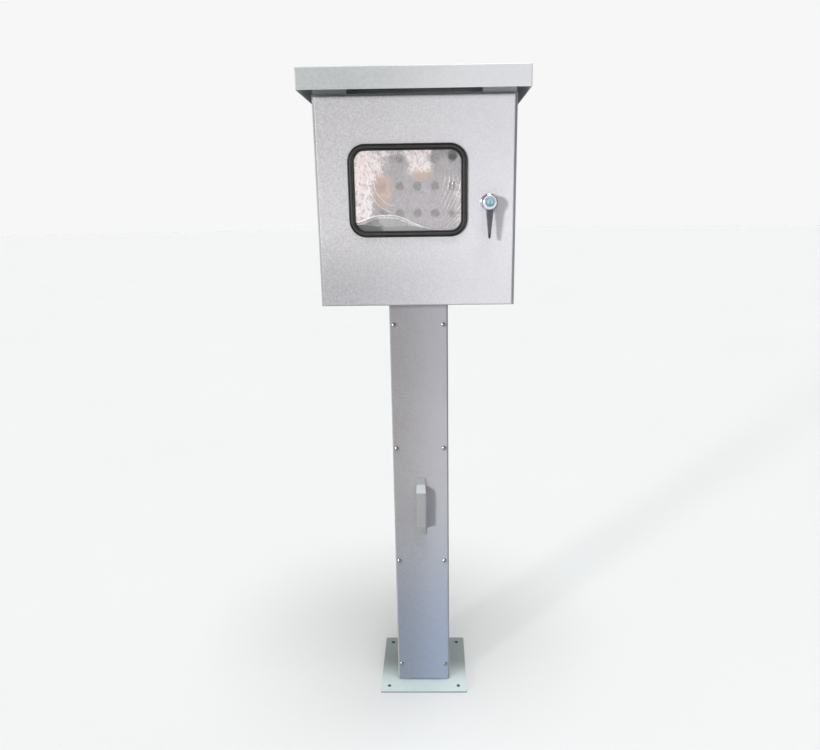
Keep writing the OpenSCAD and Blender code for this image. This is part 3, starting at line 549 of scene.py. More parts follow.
def crinkled_film(name, haze):
    """Thin protective film. It is nearly clear where it lies flat and shiny on its creases, and
    painted highlights make the creases white. The creases crowd the left end and the top left, run
    in long bows down the left third and slant up the right end. Painted reflections, peach in
    colour, lie left of the middle and at its top, painted shade darkens small pits among the
    crowded creases, the top right corner is clear, and the lower edge is turned up in the left
    half, with a painted highlight along it. Places are in millimetres from the film's middle, u to
    the right and w up; ud and wd wander a little, to ragged edges."""
    f = Finish(name)
    middle = (FILM_LO + FILM_HI) / 2
    x, _, z = f.axes(f.placed(centre=middle))
    u, w = x * (1 / MM), z * (1 / MM)
    drift = (f.noise(22.0, 3.0, 0.6) - 0.5) * 2.0
    drift2 = (f.noise(15.0, 3.0, 0.6, 0.5, f.placed(centre=(0.3, 0.1, 0.2))) - 0.5) * 2.0
    ud, wd = u + drift * 26.0, w + drift2 * 26.0

    fine = f.noise(75.0, 3.0, 0.6, 1.2)
    leaning = f.placed(centre=middle, turn=(0, 0.35, 0), scale=(2.4, 1, 0.7))
    streak = f.noise(70.0, 4.0, 0.6, 0.8, leaning)
    broad = f.noise(34.0, 4.0, 0.6, 1.0)
    ridge = crest(streak - 0.5, 2.0).step(0.84, 1.0)
    fold = crest(broad - 0.5, 2.0).step(0.92, 1.0)

    # where the small creases crowd, with painted highlights
    left = ud.step(-74.0, -122.0)
    corner = ud.step(-36.0, -88.0) * wd.step(4.0, 42.0)
    second = ud.step(-10.0, 8.0) * ud.step(64.0, 52.0) * wd.step(36.0, 56.0)
    lower_left = ud.step(-64.0, -112.0) * wd.step(-84.0, -50.0)
    top = wd.step(74.0, 94.0) * ud.step(60.0, 10.0) * 0.6
    right = ud.step(108.0, 132.0) * wd.step(40.0, 10.0) * 0.45

    # long creases: nested bows, slanting lines and the turned-up lower edge, each with a painted
    # highlight
    ring = oval(u, w, (-33.0, 32.0), 0.00024, 0.00015) ** 0.5
    bows = (1.0 - abs(((ring + drift * 0.06) * 15.5).sin())).step(0.66, 0.97)
    bows = bows * ring.step(0.55, 0.85) * ring.step(1.42, 1.1)
    bows = bows * u.step(-22.0, -48.0) * w.step(62.0, 30.0)
    slope = u - w * 0.36 + w * w * 0.004 + drift2 * 12.0
    slants = (1.0 - abs((slope * 0.3).sin())).step(0.8, 0.99)
    slants = slants * ud.step(66.0, 98.0) * wd.step(62.0, 20.0)
    above = w + 58.0 + u.step(-45.0, 58.0) * 33.0 + u.step(-70.0, -128.0) * 15.0
    hem = crest(above + drift * 2.0, 0.4) * u.step(60.0, 48.0)
    hem = hem + crest(above + 5.0 - drift2 * 5.0, 0.3) * u.step(62.0, 40.0) * 0.7
    below = above.step(0.0, -3.0)

    # painted highlights: white where the creases catch the light
    glint_area = (left + corner + second + lower_left * 0.8 + top + right).least(1.0) * (1.0 - below)
    crowd = glint_area * (fine.step(0.26, 0.74) * 0.5 + 0.24 + ridge * 0.3 + fold * 0.25)
    lines = bows * 0.4 + slants * 0.5 + hem * 0.9 + fold * 0.12 + ridge * 0.06
    white = (crowd + lines).least(1.0)

    # painted reflections: peach patches
    warm_one = oval(ud, wd, (-62.0, 2.0), 0.0011, 0.00055).step(1.5, 0.0)
    warm_two = oval(ud, wd, (34.0, 40.0), 0.0016, 0.0032).step(1.6, 0.0)
    warm = (warm_one + warm_two + (corner + left + second) * 0.42).least(1.0)
    clear = oval(u, w, (111.0, 83.0), 0.008, 0.008).step(1.6, 0.7)
    bare = below * u.step(-66.0, -92.0)
    # painted shade in small pits among the crowded creases
    pit_shade = fine.step(0.5, 0.34) * glint_area

    tone = f.mix(warm * 0.9, (0.80, 0.735, 0.77), (1.0, 0.73, 0.62))
    tone = f.mix(white * 0.85, tone, (0.98, 0.92, 0.935))
    tone = f.mix(pit_shade * 0.36, tone, (0.70, 0.56, 0.58))
    tone = f.mix(below * 0.5, tone, (0.66, 0.68, 0.68))
    body = (white * 0.5 + warm * 0.16 + haze + pit_shade * 0.1 + drift * 0.05 - bare * 0.24
            + below * (broad.step(0.4, 0.62) * 0.22 - 0.04))
    body = body * (1.0 - clear * 0.92)
    # a thin film throws only a faint shadow
    shadow = f.light_path("Is Shadow Ray")
    height = fine * 0.35 + streak * 0.3 + broad * 0.6 + bows * 0.4 + slants * 0.3 + hem * 0.4
    return f.surface(
        Base_Color=tone,
        Metallic=(1.0 - white) * 0.35,
        Roughness=white.between(0.2, 0.36),
        Specular_IOR_Level=0.8,
        Alpha=body.least(0.96) * (1.0 - shadow * 0.7),
        Normal=f.bump(height, 0.9 * MM, 0.7),
    )


def pale_floor(name):
    """Matt studio floor with a faint cloud. It throws back less light than it shows, as a floor
    does that is pale only near the object, and a painted shadow darkens it where the base plate
    covers it."""
    f = Finish(name)
    cloud = f.noise(0.7, 3.0, 0.5)
    x, y, _ = f.axes()
    edge = BASE_HI[0] - 2 * MM
    # painted shadow where the base plate covers the floor
    plate_shadow = abs(x).step(edge + MM, edge) * abs(y).step(edge + MM, edge)
    pale = f.mix(cloud, (0.595, 0.595, 0.595), (0.615, 0.615, 0.615))
    shown = f.add("ShaderNodeBsdfDiffuse", {}, {"Color": f.mix(plate_shadow, pale, (0.04, 0.045, 0.04))})
    thrown = f.add("ShaderNodeBsdfDiffuse", {}, {"Color": (0.46, 0.47, 0.47)})
    f.either(f.light_path("Is Camera Ray"), thrown, shown, "ShaderNodeOutputMaterial")
    return f.material


# ---- meshes


def quads(rows, columns, wrap_rows=False, wrap_columns=False):
    """Faces between neighbouring points of a grid; the last row or column joins the first where it
    wraps."""
    i, j = np.meshgrid(
        np.arange(rows if wrap_rows else rows - 1),
        np.arange(columns if wrap_columns else columns - 1), indexing="ij")
    k, m = (i + 1) % rows, (j + 1) % columns
    corners = [i * columns + j, k * columns + j, k * columns + m, i * columns + m]
    return np.stack(corners, -1).reshape(-1, 4).tolist()


def solid(name, points, faces, crease=50.0):
    """A mesh object from a grid of points: doubles merged, normals outward, smooth up to a crease
    angle in degrees."""
    mesh = bpy.data.meshes.new(name)
    mesh.from_pydata(points.reshape(-1, 3).tolist(), [], faces)
    work = bmesh.new()
    work.from_mesh(mesh)
    bmesh.ops.remove_doubles(work, verts=work.verts, dist=1e-6)
    bmesh.ops.recalc_face_normals(work, faces=work.faces)
    work.to_mesh(mesh)
    work.free()
    mesh.shade_smooth()
    mesh.set_sharp_from_angle(angle=math.radians(crease))
    made = bpy.data.objects.new(name, mesh)
    bpy.context.collection.objects.link(made)
    return made


def tube(name, rings, crease):
    """A tube through rings of points, one ring to each row, closed at both ends."""
    n, m = rings.shape[:2]
    ends = [list(range(m)), list(range((n - 1) * m, n * m))]
    return solid(name, rings, quads(n, m, False, True) + ends, crease)


def face_towards(obj, direction):
    """Turns an open sheet's faces towards a direction."""
    total = sum((p.normal * p.area for p in obj.data.polygons), Vector())
    if total.dot(Vector(direction)) < 0:
        obj.data.flip_normals()


def dress(obj, material, body, slot, *nodes):
    """Gives a new piece its finish and its body, and hides the frame nodes that it stands for. The
    slot is not used.
    """
    obj.data.materials.append(material)
    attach(obj, body)
    if nodes:
        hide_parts(*nodes)


def eased(points, rounds=2, closed=True):
    """Corner cutting: each round puts two points on every edge, a quarter in from its ends."""
    p = np.asarray(points, float)
    for _ in range(rounds):
        q = np.roll(p, -1, 0) if closed else p[1:]
        a = p if closed else p[:-1]
        cut = np.stack([a * 0.75 + q * 0.25, a * 0.25 + q * 0.75], 1).reshape(-1, p.shape[1])
        p = cut if closed else np.concatenate([p[:1], cut[1:-1], p[-1:]])
    return p


def round_loop(width, height, radius, corner=24, side=14):
    """Once round a rectangle with round corners. Gives the corner centre and the outward direction
    at each step: in a corner the direction turns a quarter, and on a side the centre slides to the
    next corner while the direction stays."""
    cx = np.array([1, -1, -1, 1]) * (width / 2 - radius)
    cz = np.array([1, 1, -1, -1]) * (height / 2 - radius)
    turn = np.linspace(0, math.pi / 2, corner)
    slide = np.linspace(0, 1, side + 2)[1:-1]
    xs, zs, angles = [], [], []
    for i in range(4):
        xs += [np.full(corner, cx[i]), cx[i] + (cx[(i + 1) % 4] - cx[i]) * slide]
        zs += [np.full(corner, cz[i]), cz[i] + (cz[(i + 1) % 4] - cz[i]) * slide]
        angles += [turn + i * math.pi / 2, np.full(side, (i + 1) * math.pi / 2)]
    return np.concatenate(xs), np.concatenate(zs), np.concatenate(angles)


def framed(name, section, middle, width, height, radius, face):
    """A section carried once round a rectangle with round corners. The section's first number is
    how far in from the outer edge a point lies, its second how far in front of the face, both in
    millimetres; a point is its corner centre plus the rest of the radius along the outward
    direction."""
    xs, zs, angle = round_loop(width, height, radius)
    inset, proud = section[:, 0] * MM, section[:, 1] * MM
    reach = np.repeat(radius - inset[None, :], len(xs), 0)
    points = np.stack([
        middle[0] + xs[:, None] + reach * np.cos(angle)[:, None],
        np.broadcast_to(face - proud[None, :], reach.shape),
        middle[2] + zs[:, None] + reach * np.sin(angle)[:, None],
    ], -1)
    return solid(name, points, quads(len(xs), len(section), True, True), 60.0)


def turned(name, section, centre, steps=96):
    """A closed section turned once about an axis along Y through the centre. Its points are the
    radius in millimetres and the depth in metres."""
    angle = np.linspace(0, 2 * math.pi, steps, endpoint=False)
    r, y = section[:, 0] * MM, section[:, 1]
    points = np.stack([
        centre[0] + np.cos(angle)[:, None] * r[None, :],
        np.broadcast_to(y[None, :], (steps, len(r))),
        centre[2] + np.sin(angle)[:, None] * r[None, :],
    ], -1)
    return solid(name, points, quads(steps, len(section), True, True))


def along(line):
    """Unit direction of a flat line at each of its points, and its normal on the right."""
    way = np.gradient(line, axis=0)
    way /= np.linalg.norm(way, axis=1)[:, None]
    return way, np.stack([way[:, 1], -way[:, 0]], 1)


def bent_line(corners, radius, steps=9):
    """A line through corner points with each bend rounded: an arc of the radius, tangent to both
    legs, stands for the corner."""
    p = np.asarray(corners, float)
    out = [p[0]]
    for a, b, c in zip(p[:-2], p[1:-1], p[2:]):
        one, two = (b - a) / np.linalg.norm(b - a), (c - b) / np.linalg.norm(c - b)
        bend = math.acos(float(np.clip(one @ two, -1, 1)))
        cut = radius * math.tan(bend / 2)
        side = two - one * float(one @ two)
        side /= np.linalg.norm(side)
        start = b - one * cut
        t = np.linspace(0, bend, steps)
        out += list(start + radius * (np.sin(t)[:, None] * one + (1 - np.cos(t))[:, None] * side))
    return np.array(out + [p[-1]])


# ---- pieces


class ALARM_OT_sheet_metal(Operator):
    """Powder coat on the cabinet, door, canopy, post, cover, base and inner panel"""

    bl_idname = "alarm.sheet_metal"
    bl_label = "Sheet metal"

    def execute(self, context):
        v = context.scene.alarm_paint

        def coat(part, grain=1.0, **looks):
            return powder_coat(part + " coat", getattr(v, part), v.peel, v.speckle * grain, **looks)

        cover_slots({
            "cabinet_paint": coat("cabinet"),
            # door: painted shade on the left, painted light on the right, and painted shade towards
            # the bottom, most of it on the left
            "door_paint": coat(
                "door", 1.8, left=(0.86, 0.86, 0.865), right=(1.08, 1.09, 1.12),
                fades=[(2, 1.42, 1.24, (0.71, 0.71, 0.725), 0.22)]),
            # canopy: painted shade on the left and painted light on the right
            "canopy_paint": coat(
                "canopy", 0.9, left=(0.75, 0.78, 0.77), right=(1.10, 1.09, 1.12), reach=0.2),
            "post_paint": coat("post"),
            # cover: painted shade on the left, painted light on the right, and painted shade,
            # cooler in tone, towards the bottom
            "cover_paint": coat(
                "cover", 0.8, left=(0.78, 0.76, 0.74), right=(1.07, 1.08, 1.11), reach=0.075,
                fades=[(2, 0.70, 0.08, (0.64, 0.77, 0.94), 1.0)]),
            # base: painted shadow over the back of the plate, and painted shade on its edge faces
            "base_paint": coat("base", fades=[
                (1, -0.10, 0.02, (0.42, 0.42, 0.41), 1.0),
                (2, BASE_HI[2] - MM, BASE_HI[2] - 2.4 * MM, (0.5, 0.5, 0.56), 1.0)]),
            "panel_paint": coat("panel"),
        })
        return {"FINISHED"}


class ALARM_OT_fittings(Operator):
    """Finishes of the rails, terminals, glands, hinges, gaskets and fasteners"""

    bl_idname = "alarm.fittings"
    bl_label = "Fittings"

    def execute(self, context):
        cover_slots({
            "galvanised": rolled_zinc("zinc sheet", (0.56, 0.57, 0.58)),
            "screw_steel": plated_fastener("bright screws", (0.42, 0.43, 0.45), (0.2, 0.2, 0.2)),
            "zinc_yellow": plated_fastener("yellow zinc", (0.70, 0.60, 0.34), (0.46, 0.42, 0.26)),
            "brass": brass_bar("brass", (0.62, 0.46, 0.2)),
            "rubber": black_rubber("rubber", tuple(context.scene.alarm_window.rubber)),
            "foam": open_foam("foam", (0.03, 0.03, 0.032)),
            "black_plastic": moulded_plastic("black polyamide", (0.03, 0.03, 0.032)),
            "grey_plastic": moulded_plastic("grey polyamide", (0.3, 0.31, 0.3)),
            "green_plastic": moulded_plastic("green polyamide", (0.12, 0.32, 0.07)),
        })
        return {"FINISHED"}


def cover_slots(finishes):
    """Puts each finish on every frame node of its slot."""
    slots = {s["node"]: s["material_slot"] for s in frame["record"]["subparts"]}
    for node, obj in frame["nodes"].items():
        if slots[node] in finishes:
            obj.data.materials.clear()
            obj.data.materials.append(finishes[slots[node]])


class ALARM_OT_window(Operator):
    """Rubber seal with its locking strip, clear pane and creased protective film"""

    bl_idname = "alarm.window"
    bl_label = "Window"

    def execute(self, context):
        v = context.scene.alarm_window
        middle = (SEAL_LO + SEAL_HI) / 2
        width, _, height = SEAL_HI - SEAL_LO
        face, radius = DOOR_LO[1], 43 * MM
        # millimetres in from the outer edge, and out from the door's face
        front = [(0.1, 0.1), (0.0, 1.2), (0.5, 3.4), (1.9, 4.9), (3.3, 4.95), (4.6, 4.3),
                 (4.95, 2.9), (5.0, 2.1), (11.0, 2.1), (11.05, 2.9), (11.4, 4.3), (12.7, 4.95),
                 (14.2, 4.8), (15.5, 3.4), (16.0, 1.6)]
        pane_grip = [(15.95, 0.55), (10.0, 0.55), (10.0, -2.55), (15.9, -2.55)]
        rear = [(16.0, -3.6), (15.2, -5.6), (13.4, -6.0), (2.6, -6.0), (0.7, -5.3), (0.0, -3.6),
                (0.15, -2.1), (5.9, -2.05), (5.9, -0.05)]
        section = np.array(eased(front, 2, False).tolist() + pane_grip
                           + eased(rear, 1, False).tolist())
        seal = framed("window_rubber", section, middle, width, height, radius, face)
        dress(seal, black_rubber("seal rubber", tuple(v.rubber), 0.36), "door", "rubber",
              "window_seal")

        bead = eased([(5.15, 2.2), (5.15, 4.9), (5.9, 5.75), (8.0, 5.8), (10.1, 5.75),
                      (10.85, 4.9), (10.85, 2.2)], 2, False)
        strip = framed("seal_strip", bead, middle, width, height, radius, face)
        dress(strip, black_rubber("strip rubber", tuple(v.strip), 0.3), "door", "strip_rubber",
              "seal_locking_strip")

        film = creased_sheet("window_film", v.crease, v.seed)
        dress(film, crinkled_film("creased film", v.haze), "door", "clear_film",
              "protective_film")
        cover_slots({"clear_pane": clear_sheet("acrylic pane")})
        return {"FINISHED"}


def creased_sheet(name, height, seed):
    """Film over the pane. Along its length the grid runs from the left end to the right end, and at
    each place from the film's lower edge up to the round-cornered top. Its height is a sum of
    slanting triangle waves, which gives flat facets with sharp creases between them, plus long bows
    on the left and slants on the right, and it dies out towards the seal."""
    rows, columns = ((300, 210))
    waves, longest = 26, 75.0
    mid = (FILM_LO + FILM_HI) / 2
    half_w, _, half_h = (FILM_HI - FILM_LO) / 2
    radius = 27 * MM
    u = np.linspace(-half_w, half_w, rows)[:, None]
    t = np.linspace(0, 1, columns)[None, :]
    over = np.clip(np.abs(u) - (half_w - radius), 0, radius)
    drop = radius - np.sqrt(np.maximum(radius**2 - over**2, 0))
    top = half_h - drop
    # the lower edge is up at the left, by rise at each knot, and runs down to the seal on the right
    knots = np.array([-131, -101, -81, -57, -33, -9, 23, 55, 70, 132]) * MM
    rise = np.array([16, 14, 11, 10, 11, 12, 10, 3, 0, 0]) * MM
    wave = np.sin(u / (6.1 * MM)) * 0.7 * MM + np.sin(u / (2.9 * MM)) * 0.35 * MM
    lift = np.interp(u, knots, rise)
    bottom = np.maximum(-half_h + drop, -half_h + lift + wave * np.clip(lift / (6 * MM), 0, 1))
    w = bottom + (top - bottom) * t
    uu = np.broadcast_to(u, w.shape) / MM
    ww = w / MM

    rng = np.random.default_rng(seed)
    field = np.zeros_like(ww)
    for _ in range(waves):
        angle = rng.uniform(0, math.pi)
        pitch = rng.uniform(11, longest)
        phase = rng.uniform(0, 1)
        bow = rng.uniform(-0.0016, 0.0016)
        run = uu * math.cos(angle) + ww * math.sin(angle)
        across = -uu * math.sin(angle) + ww * math.cos(angle)
        turn = (run + bow * across**2) / pitch + phase
        field += (np.abs(turn - np.round(turn)) * 2 - 0.5) * (pitch / longest) ** 0.6
    field = (field - field.min()) / (field.max() - field.min())

    def ramp(a, low, high):
        s = np.clip((a - low) / (high - low), 0, 1)
        return s * s * (3 - 2 * s)

    crowd = 0.28 + 0.72 * np.clip(
        ramp(-uu, 20, 90) + ramp(uu, 70, 120) * 0.7 + ramp(ww, 30, 80) * 0.5, 0, 1)
    bows = np.abs(np.sin((uu + ww**2 * 0.004 - ww * 0.22) * 0.12)) ** 3
    bows = bows * ramp(-uu, 20, 55) * ramp(uu, -128, -105)
    slants = np.abs(np.sin((uu - ww * 0.42) * 0.13)) ** 3 * ramp(uu, 60, 95)
    hem = np.exp(-(((ww - bottom / MM) / 5.0) ** 2)) * np.clip(lift / (8 * MM), 0, 1)
    rise_up = field * crowd * 0.75 + bows * 0.35 + slants * 0.3 + hem * 0.5
    edge = np.minimum(np.minimum(uu + half_w / MM, half_w / MM - uu), top / MM - ww)
    rise_up = rise_up / rise_up.max() * (0.25 + 0.75 * np.clip(edge / 9.0, 0, 1))
    y = FILM_HI[1] - 0.1 * MM - rise_up * height
    points = np.stack([mid[0] + uu * MM, y, mid[2] + ww * MM], -1)
    film = solid(name, points, quads(rows, columns), 180.0)
    face_towards(film, (0, -1, 0))
    return film


class ALARM_OT_lock(Operator):
    """Rose, swing lever with its domed head and tapering arm, and the key barrel"""

    bl_idname = "alarm.lock"
    bl_label = "Lock"

    def execute(self, context):
        v = context.scene.alarm_lock
        centre = (LOCK_X, 0, LOCK_Z)
        plate = chrome_plate("bright chrome", tuple(v.chrome))
        front, back = LEVER_LO[1], LEVER_HI[1]
        neck, door, rear = ROSE_LO[1], DOOR_LO[1], ROSE_HI[1]

        rose = np.array([
            (6.2, neck), (13.5, neck), (14.0, neck + 0.5 * MM),
            (14.0, door - 6.7 * MM), (14.7, door - 6.0 * MM), (19.2, door - 6.0 * MM),
            (20.6, door - 5.6 * MM), (21.6, door - 4.6 * MM), (22.0, door - 3.2 * MM),
            (22.0, door), (11.0, door), (11.0, rear - 0.5 * MM), (10.5, rear), (6.2, rear)])
        dress(turned("lock_rose", rose, centre), plate, "door", "chrome", "lock_housing")

        dome_r = np.array([10.3, 13.0, 15.4, 17.3, 18.8, 19.7, 20.0, 20.0, 19.3, 18.6])
        dome_y = np.array([0.0, 0.35, 1.2, 2.6, 4.7, 7.4, 10.4, 18.9, 19.8, 20.0]) * MM
        head = np.concatenate([
            [(9.6, front + 13.9 * MM), (9.6, front + 0.6 * MM), (9.9, front + 0.1 * MM)],
            np.stack([dome_r, front + dome_y], 1),
            [(6.0, back), (6.0, front + 14.0 * MM)]])
        face = (LOCK_X, BARREL_LO[1], LOCK_Z)
        casting = lever_chrome("lever chrome", tuple(v.chrome), face)
        dress(turned("lever_head", head, centre, 128), casting, "lever", "chrome", "lever_handle")
        dress(lever_arm("lever_arm", v.tip_width), casting, "lever", "chrome", "lever_handle")

        cover_slots({"key_steel": turned_steel("key barrel", tuple(v.barrel), face)})
        return {"FINISHED"}


def lever_arm(name, tip_width):
    """Arm that hangs from the head. Its eight-sided section, with corners cut, is carried straight
    down; half the width runs from the root's at the axis to half the tip's, the thickness thins a
    little, and both fall off as a quarter circle over the last few millimetres."""
    length = LOCK_Z - LEVER_LO[2]
    root, shoulder, inside_head = 11.6 * MM, 0.93, 9.5 * MM
    last = 1 - (1 - shoulder) * np.cos(np.linspace(0, math.pi / 2, 14))[1:]
    z = np.concatenate([np.linspace(0, shoulder, 40), last])
    fall = np.clip((z - shoulder) / (1 - shoulder), 0, 1)
    end = np.sqrt(np.maximum(1 - fall**2, 1e-5))
    half = (root + (tip_width / 2 - root) * z) * end
    front = LEVER_LO[1] + 2.5 * MM + 1.6 * MM * z
    back = front + 9 * MM - 3.0 * MM * z
    mid_y, thick = (front + back) / 2, (back - front) / 2 * (0.35 + 0.65 * end)
    section = eased([(-1.0, -0.6), (-0.9, -1.0), (0.9, -1.0), (1.0, -0.6), (1.0, 0.6),
                     (0.75, 1.0), (-0.75, 1.0), (-1.0, 0.6)], 2)
    rings = np.stack([
        LOCK_X + half[:, None] * section[None, :, 0],
        mid_y[:, None] + thick[:, None] * section[None, :, 1],
        np.broadcast_to((LOCK_Z - length * z)[:, None], (len(z), len(section))),
    ], -1)
    return tube(name, rings[rings[:, 0, 2] < LOCK_Z - inside_head], 55.0)


class ALARM_OT_pull(Operator):
    """Pull on the post cover: a strip folded at four bends"""

    bl_idname = "alarm.pull"
    bl_label = "Cover pull"

    def execute(self, context):
        v = context.scene.alarm_paint
        middle = (PULL_LO + PULL_HI) / 2
        width, _, length = PULL_HI - PULL_LO
        thick, foot, slope = 3 * MM, 21 * MM, 14 * MM
        near, far = PULL_HI[1] - thick / 2, PULL_LO[1] + thick / 2
        half = length / 2
        knee, grip = half - foot, half - foot - slope
        line = bent_line([(near, half), (near, knee), (far, grip), (far, -grip), (near, -knee),
                          (near, -half)], 4 * MM)
        # the strip's section: across the width, and out along the line's own normal
        edge = 0.7 * MM
        turn = np.linspace(0, math.pi / 2, 5)
        ring = np.concatenate([
            np.stack([sx * (width / 2 - edge) + edge * np.cos(turn + a),
                      sy * (thick / 2 - edge) + edge * np.sin(turn + a)], 1)
            for sx, sy, a in ((1, 1, 0), (-1, 1, math.pi / 2), (-1, -1, math.pi),
                              (1, -1, 1.5 * math.pi))])
        _, out = along(line)
        rings = np.stack([
            np.broadcast_to(middle[0] + ring[None, :, 0], (len(line), len(ring))),
            line[:, 0, None] + out[:, 0, None] * ring[None, :, 1],
            middle[2] + line[:, 1, None] + out[:, 1, None] * ring[None, :, 1],
        ], -1)
        bend = middle[2] + grip
        # painted highlight: the upward slope above the grip is much lighter, and the foot above it
        # a little lighter than the grip
        coat = powder_coat(
            "pull coat", v.pull, v.peel * 0.6, v.speckle * 0.6,
            fades=[(2, bend - MM, bend + MM, (1.5, 1.54, 1.54), 1.0),
                   (2, bend + 14 * MM, bend + 16 * MM, (0.72, 0.72, 0.71), 1.0)])
        dress(tube("cover_pull", rings, 40.0), coat, "cabinet", "handle_paint", "cover_handle")
        return {"FINISHED"}


class ALARM_OT_weld(Operator):
    """Painted fillet weld where the post stands on its base plate"""

    bl_idname = "alarm.weld"
    bl_label = "Post weld"

    def execute(self, context):
        v = context.scene.alarm_paint
        dress(post_weld("post_weld"), powder_coat("weld coat", v.post, v.peel, v.speckle),
              "cabinet", "post_paint")
        return {"FINISHED"}


def post_weld(name):
    """Fillet along the post's two sides and back. A quarter-round section is carried along the
    channel's foot with round corners; its leg swells and shrinks a little at each weld ripple and
    runs out at both front ends."""
    radius, steps = 3 * MM, 150
    x, y0, y1 = POST_HI[0], POST_LO[1] + 4 * MM, POST_HI[1]
    side = np.linspace(0, 1, steps)
    turn = np.linspace(0, math.pi / 2, 12)
    right = np.stack([np.full(steps, x), y0 + (y1 - radius - y0) * side], 1)
    corner = np.stack([x - radius + radius * np.cos(turn), y1 - radius + radius * np.sin(turn)], 1)
    rear = np.stack([(x - radius) * (1 - 2 * side), np.full(steps, y1)], 1)
    left = np.concatenate([right[:-1], corner[:-1]])[::-1] * (-1, 1)
    line = np.concatenate([right, corner[1:], rear[1:], left])
    _, out = along(line)
    run = np.concatenate([[0], np.cumsum(np.linalg.norm(np.diff(line, axis=0), axis=1))])
    ends = np.clip(np.minimum(run, run[-1] - run) / (8 * MM), 0.05, 1) ** 0.5
    ripple = 0.35 * MM * np.cos(run / (3.6 * MM) * 2 * math.pi)
    leg = (3.4 * MM + ripple) * ends
    # a slightly hollow quarter: out along the plate, then up the post, and back inside the wall
    arc = np.linspace(0, math.pi / 2, 7)
    hollow = 1 - 0.22 * np.sin(arc * 2)
    away = np.concatenate([hollow * np.cos(arc), [-0.3, -0.3]]) * leg[:, None]
    high = np.concatenate([hollow * np.sin(arc), [1.0, 0.0]]) * leg[:, None]
    rings = np.stack([line[:, 0, None] + out[:, 0, None] * away,
                      line[:, 1, None] + out[:, 1, None] * away, BASE_HI[2] + high], -1)
    return tube(name, rings, 60.0)


# ---- stage


class ALARM_OT_stage(Operator):
    """Pale floor, soft light and the camera"""

    bl_idname = "alarm.stage"
    bl_label = "Stage"

    def execute(self, context):
        v = context.scene.alarm_stage
        floor = round_floor("studio_floor")

        world = bpy.data.worlds.new("soft room")
        world.use_nodes = True
        context.scene.world = world
        room_light(world.node_tree, v.room)
        sun("key light", v.key, (-1.0, -1.02, 0.20), 8.0, (1.0, 0.985, 0.965))
        sun("top light", v.top, (0.04, -0.15, 1.0), 30.0, (0.97, 1.0, 1.0))
        sun("back light", v.back, (0.7, 1.0, 0.6), 60.0, (1.0, 1.0, 1.0))
        soft_box("fill light", v.fill, (1.35, -1.25, 1.35), (0.1, 0, 1.3))

        context.scene.camera = camera(v)
        context.scene.view_settings.view_transform = "Standard"
        context.scene.view_settings.look = "None"
        return {"FINISHED"}


def round_floor(name):
    """Round floor: rings whose radius grows by the same factor, from half a metre to sixty."""
    steps, rings = 96, 14
    turn = np.linspace(0, 2 * math.pi, steps, endpoint=False)[:, None]
    reach = np.geomspace(0.5, 60.0, rings)
    points = np.stack([np.cos(turn) * reach, np.sin(turn) * reach, np.zeros((steps, rings))], -1)
    middle = [[i * rings for i in range(steps)]]
    floor = solid(name, points, quads(steps, rings, True, False) + middle, 180.0)
    face_towards(floor, (0, 0, 1))
    floor.data.materials.append(pale_floor("pale floor"))
    return floor


def placed_lamp(lamp, shines):
    """Puts a lamp in the scene, turned so that it shines in a direction."""
    holder = bpy.data.objects.new(lamp.name, lamp)
    holder.rotation_euler = shines.to_track_quat("-Z", "Y").to_euler()
    bpy.context.scene.collection.objects.link(holder)
    return holder


def sun(name, strength, comes_from, soft, colour):
    """A broad, distant light, as many degrees across as soft says."""
    lamp = bpy.data.lights.new(name, "SUN")
    lamp.energy, lamp.angle, lamp.color = strength, math.radians(soft), colour
    placed_lamp(lamp, -Vector(comes_from))


def soft_box(name, power, place, aim):
    """A tall rectangular light that shines from a place to a point and doesn't show itself."""
    lamp = bpy.data.lights.new(name, "AREA")
    lamp.shape, lamp.size, lamp.size_y = "RECTANGLE", 0.9, 1.6
    lamp.energy, lamp.color = power, (0.96, 0.97, 1.0)
    holder = placed_lamp(lamp, Vector(aim) - Vector(place))
    holder.location = place
    holder.visible_camera = False


def camera(v):
    """The camera at its place, turned to its heading, tilted, and then leaned about its own line of
    sight."""
    eye = bpy.data.cameras.new("camera")
    eye.lens, eye.sensor_width = v.lens, 36.0
    eye.shift_x, eye.shift_y = v.shift_x, v.shift_y
    eye.clip_end = 200.0
    place = Matrix.Translation(v.camera_place)
    for angle, axis in ((-v.camera_turn, "Z"), (math.pi / 2 + v.camera_tilt, "X"),
                        (v.camera_roll, "Z")):
        place = place @ Matrix.Rotation(angle, 4, axis)
    holder = bpy.data.objects.new("camera", eye)
    holder.matrix_world = place
    bpy.context.scene.collection.objects.link(holder)
    return holder


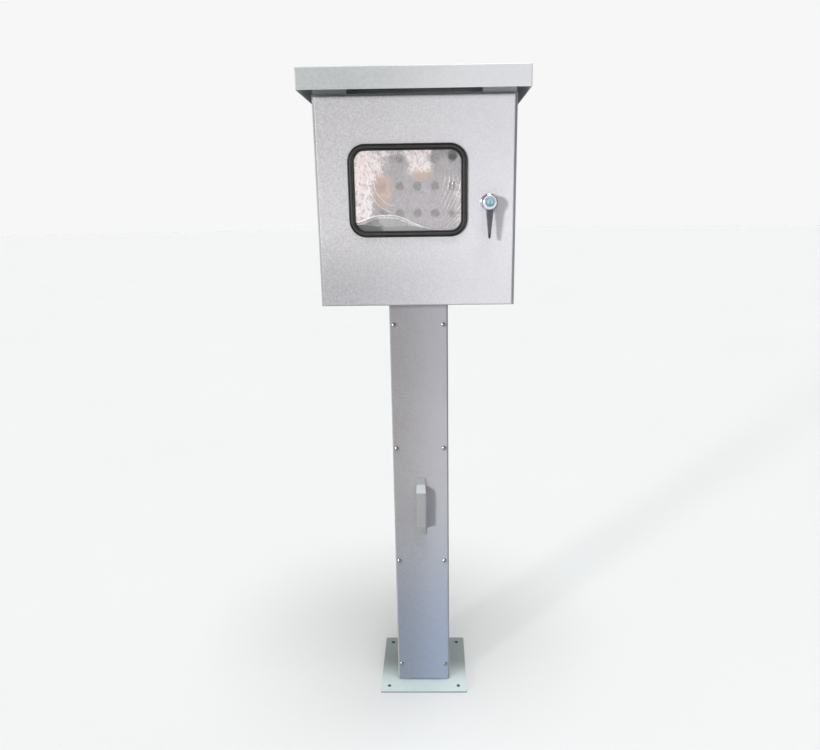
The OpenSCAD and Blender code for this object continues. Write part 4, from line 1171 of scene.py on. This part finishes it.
def room_light(tree, strength):
    """Even room light, brighter overhead and dark towards the front, with a near-white backdrop
    behind the object."""
    room = Nodes(tree, "Generated")
    _, deep, high = room.axes()
    sky = room.mix(high.step(-0.25, 0.75), (0.62, 0.66, 0.70), WHITE)
    tone = room.mix(deep.step(-0.5, -0.9) * 0.95, sky, (0.10, 0.11, 0.12))
    lit = room.add("ShaderNodeBackground", {}, {0: tone, 1: strength})
    shown = room.add("ShaderNodeBackground", {}, {0: (0.93, 0.93, 0.93), 1: 1.0})
    room.either(room.light_path("Is Camera Ray"), lit, shown, "ShaderNodeOutputWorld")


# ---- panel and start


class ALARM_PT_panel(Panel):
    """Steps and values of the cabinet"""

    bl_idname = "ALARM_PT_panel"
    bl_label = "Alarm cabinet"
    bl_space_type = "VIEW_3D"
    bl_region_type = "UI"
    bl_category = "Alarm cabinet"

    def draw(self, context):
        layout = self.layout
        for values in ("alarm_paint", "alarm_window", "alarm_lock", "alarm_stage"):
            group = getattr(context.scene, values)
            box = layout.box()
            for name in group.bl_rna.properties.keys():
                if name not in {"rna_type", "name"}:
                    box.prop(group, name)
        for step in STEPS:
            layout.operator(step.bl_idname)


STEPS = (ALARM_OT_sheet_metal, ALARM_OT_fittings, ALARM_OT_window, ALARM_OT_lock, ALARM_OT_pull,
         ALARM_OT_weld, ALARM_OT_stage)
GROUPS = {"alarm_paint": PaintValues, "alarm_window": WindowValues, "alarm_lock": LockValues,
          "alarm_stage": StageValues}


def register():
    for group in GROUPS.values():
        bpy.utils.register_class(group)
    for name, group in GROUPS.items():
        setattr(bpy.types.Scene, name, PointerProperty(type=group))
    for kind in (*STEPS, ALARM_PT_panel):
        bpy.utils.register_class(kind)


def unregister():
    for kind in reversed((*STEPS, ALARM_PT_panel)):
        bpy.utils.unregister_class(kind)
    for name, group in GROUPS.items():
        delattr(bpy.types.Scene, name)
        bpy.utils.unregister_class(group)


def main():
    """Makes every piece and the stage."""
    register()
    bpy.ops.alarm.sheet_metal()
    bpy.ops.alarm.fittings()
    bpy.ops.alarm.window()
    bpy.ops.alarm.lock()
    bpy.ops.alarm.pull()
    bpy.ops.alarm.weld()
    bpy.ops.alarm.stage()


if __name__ == "__main__":
    main()
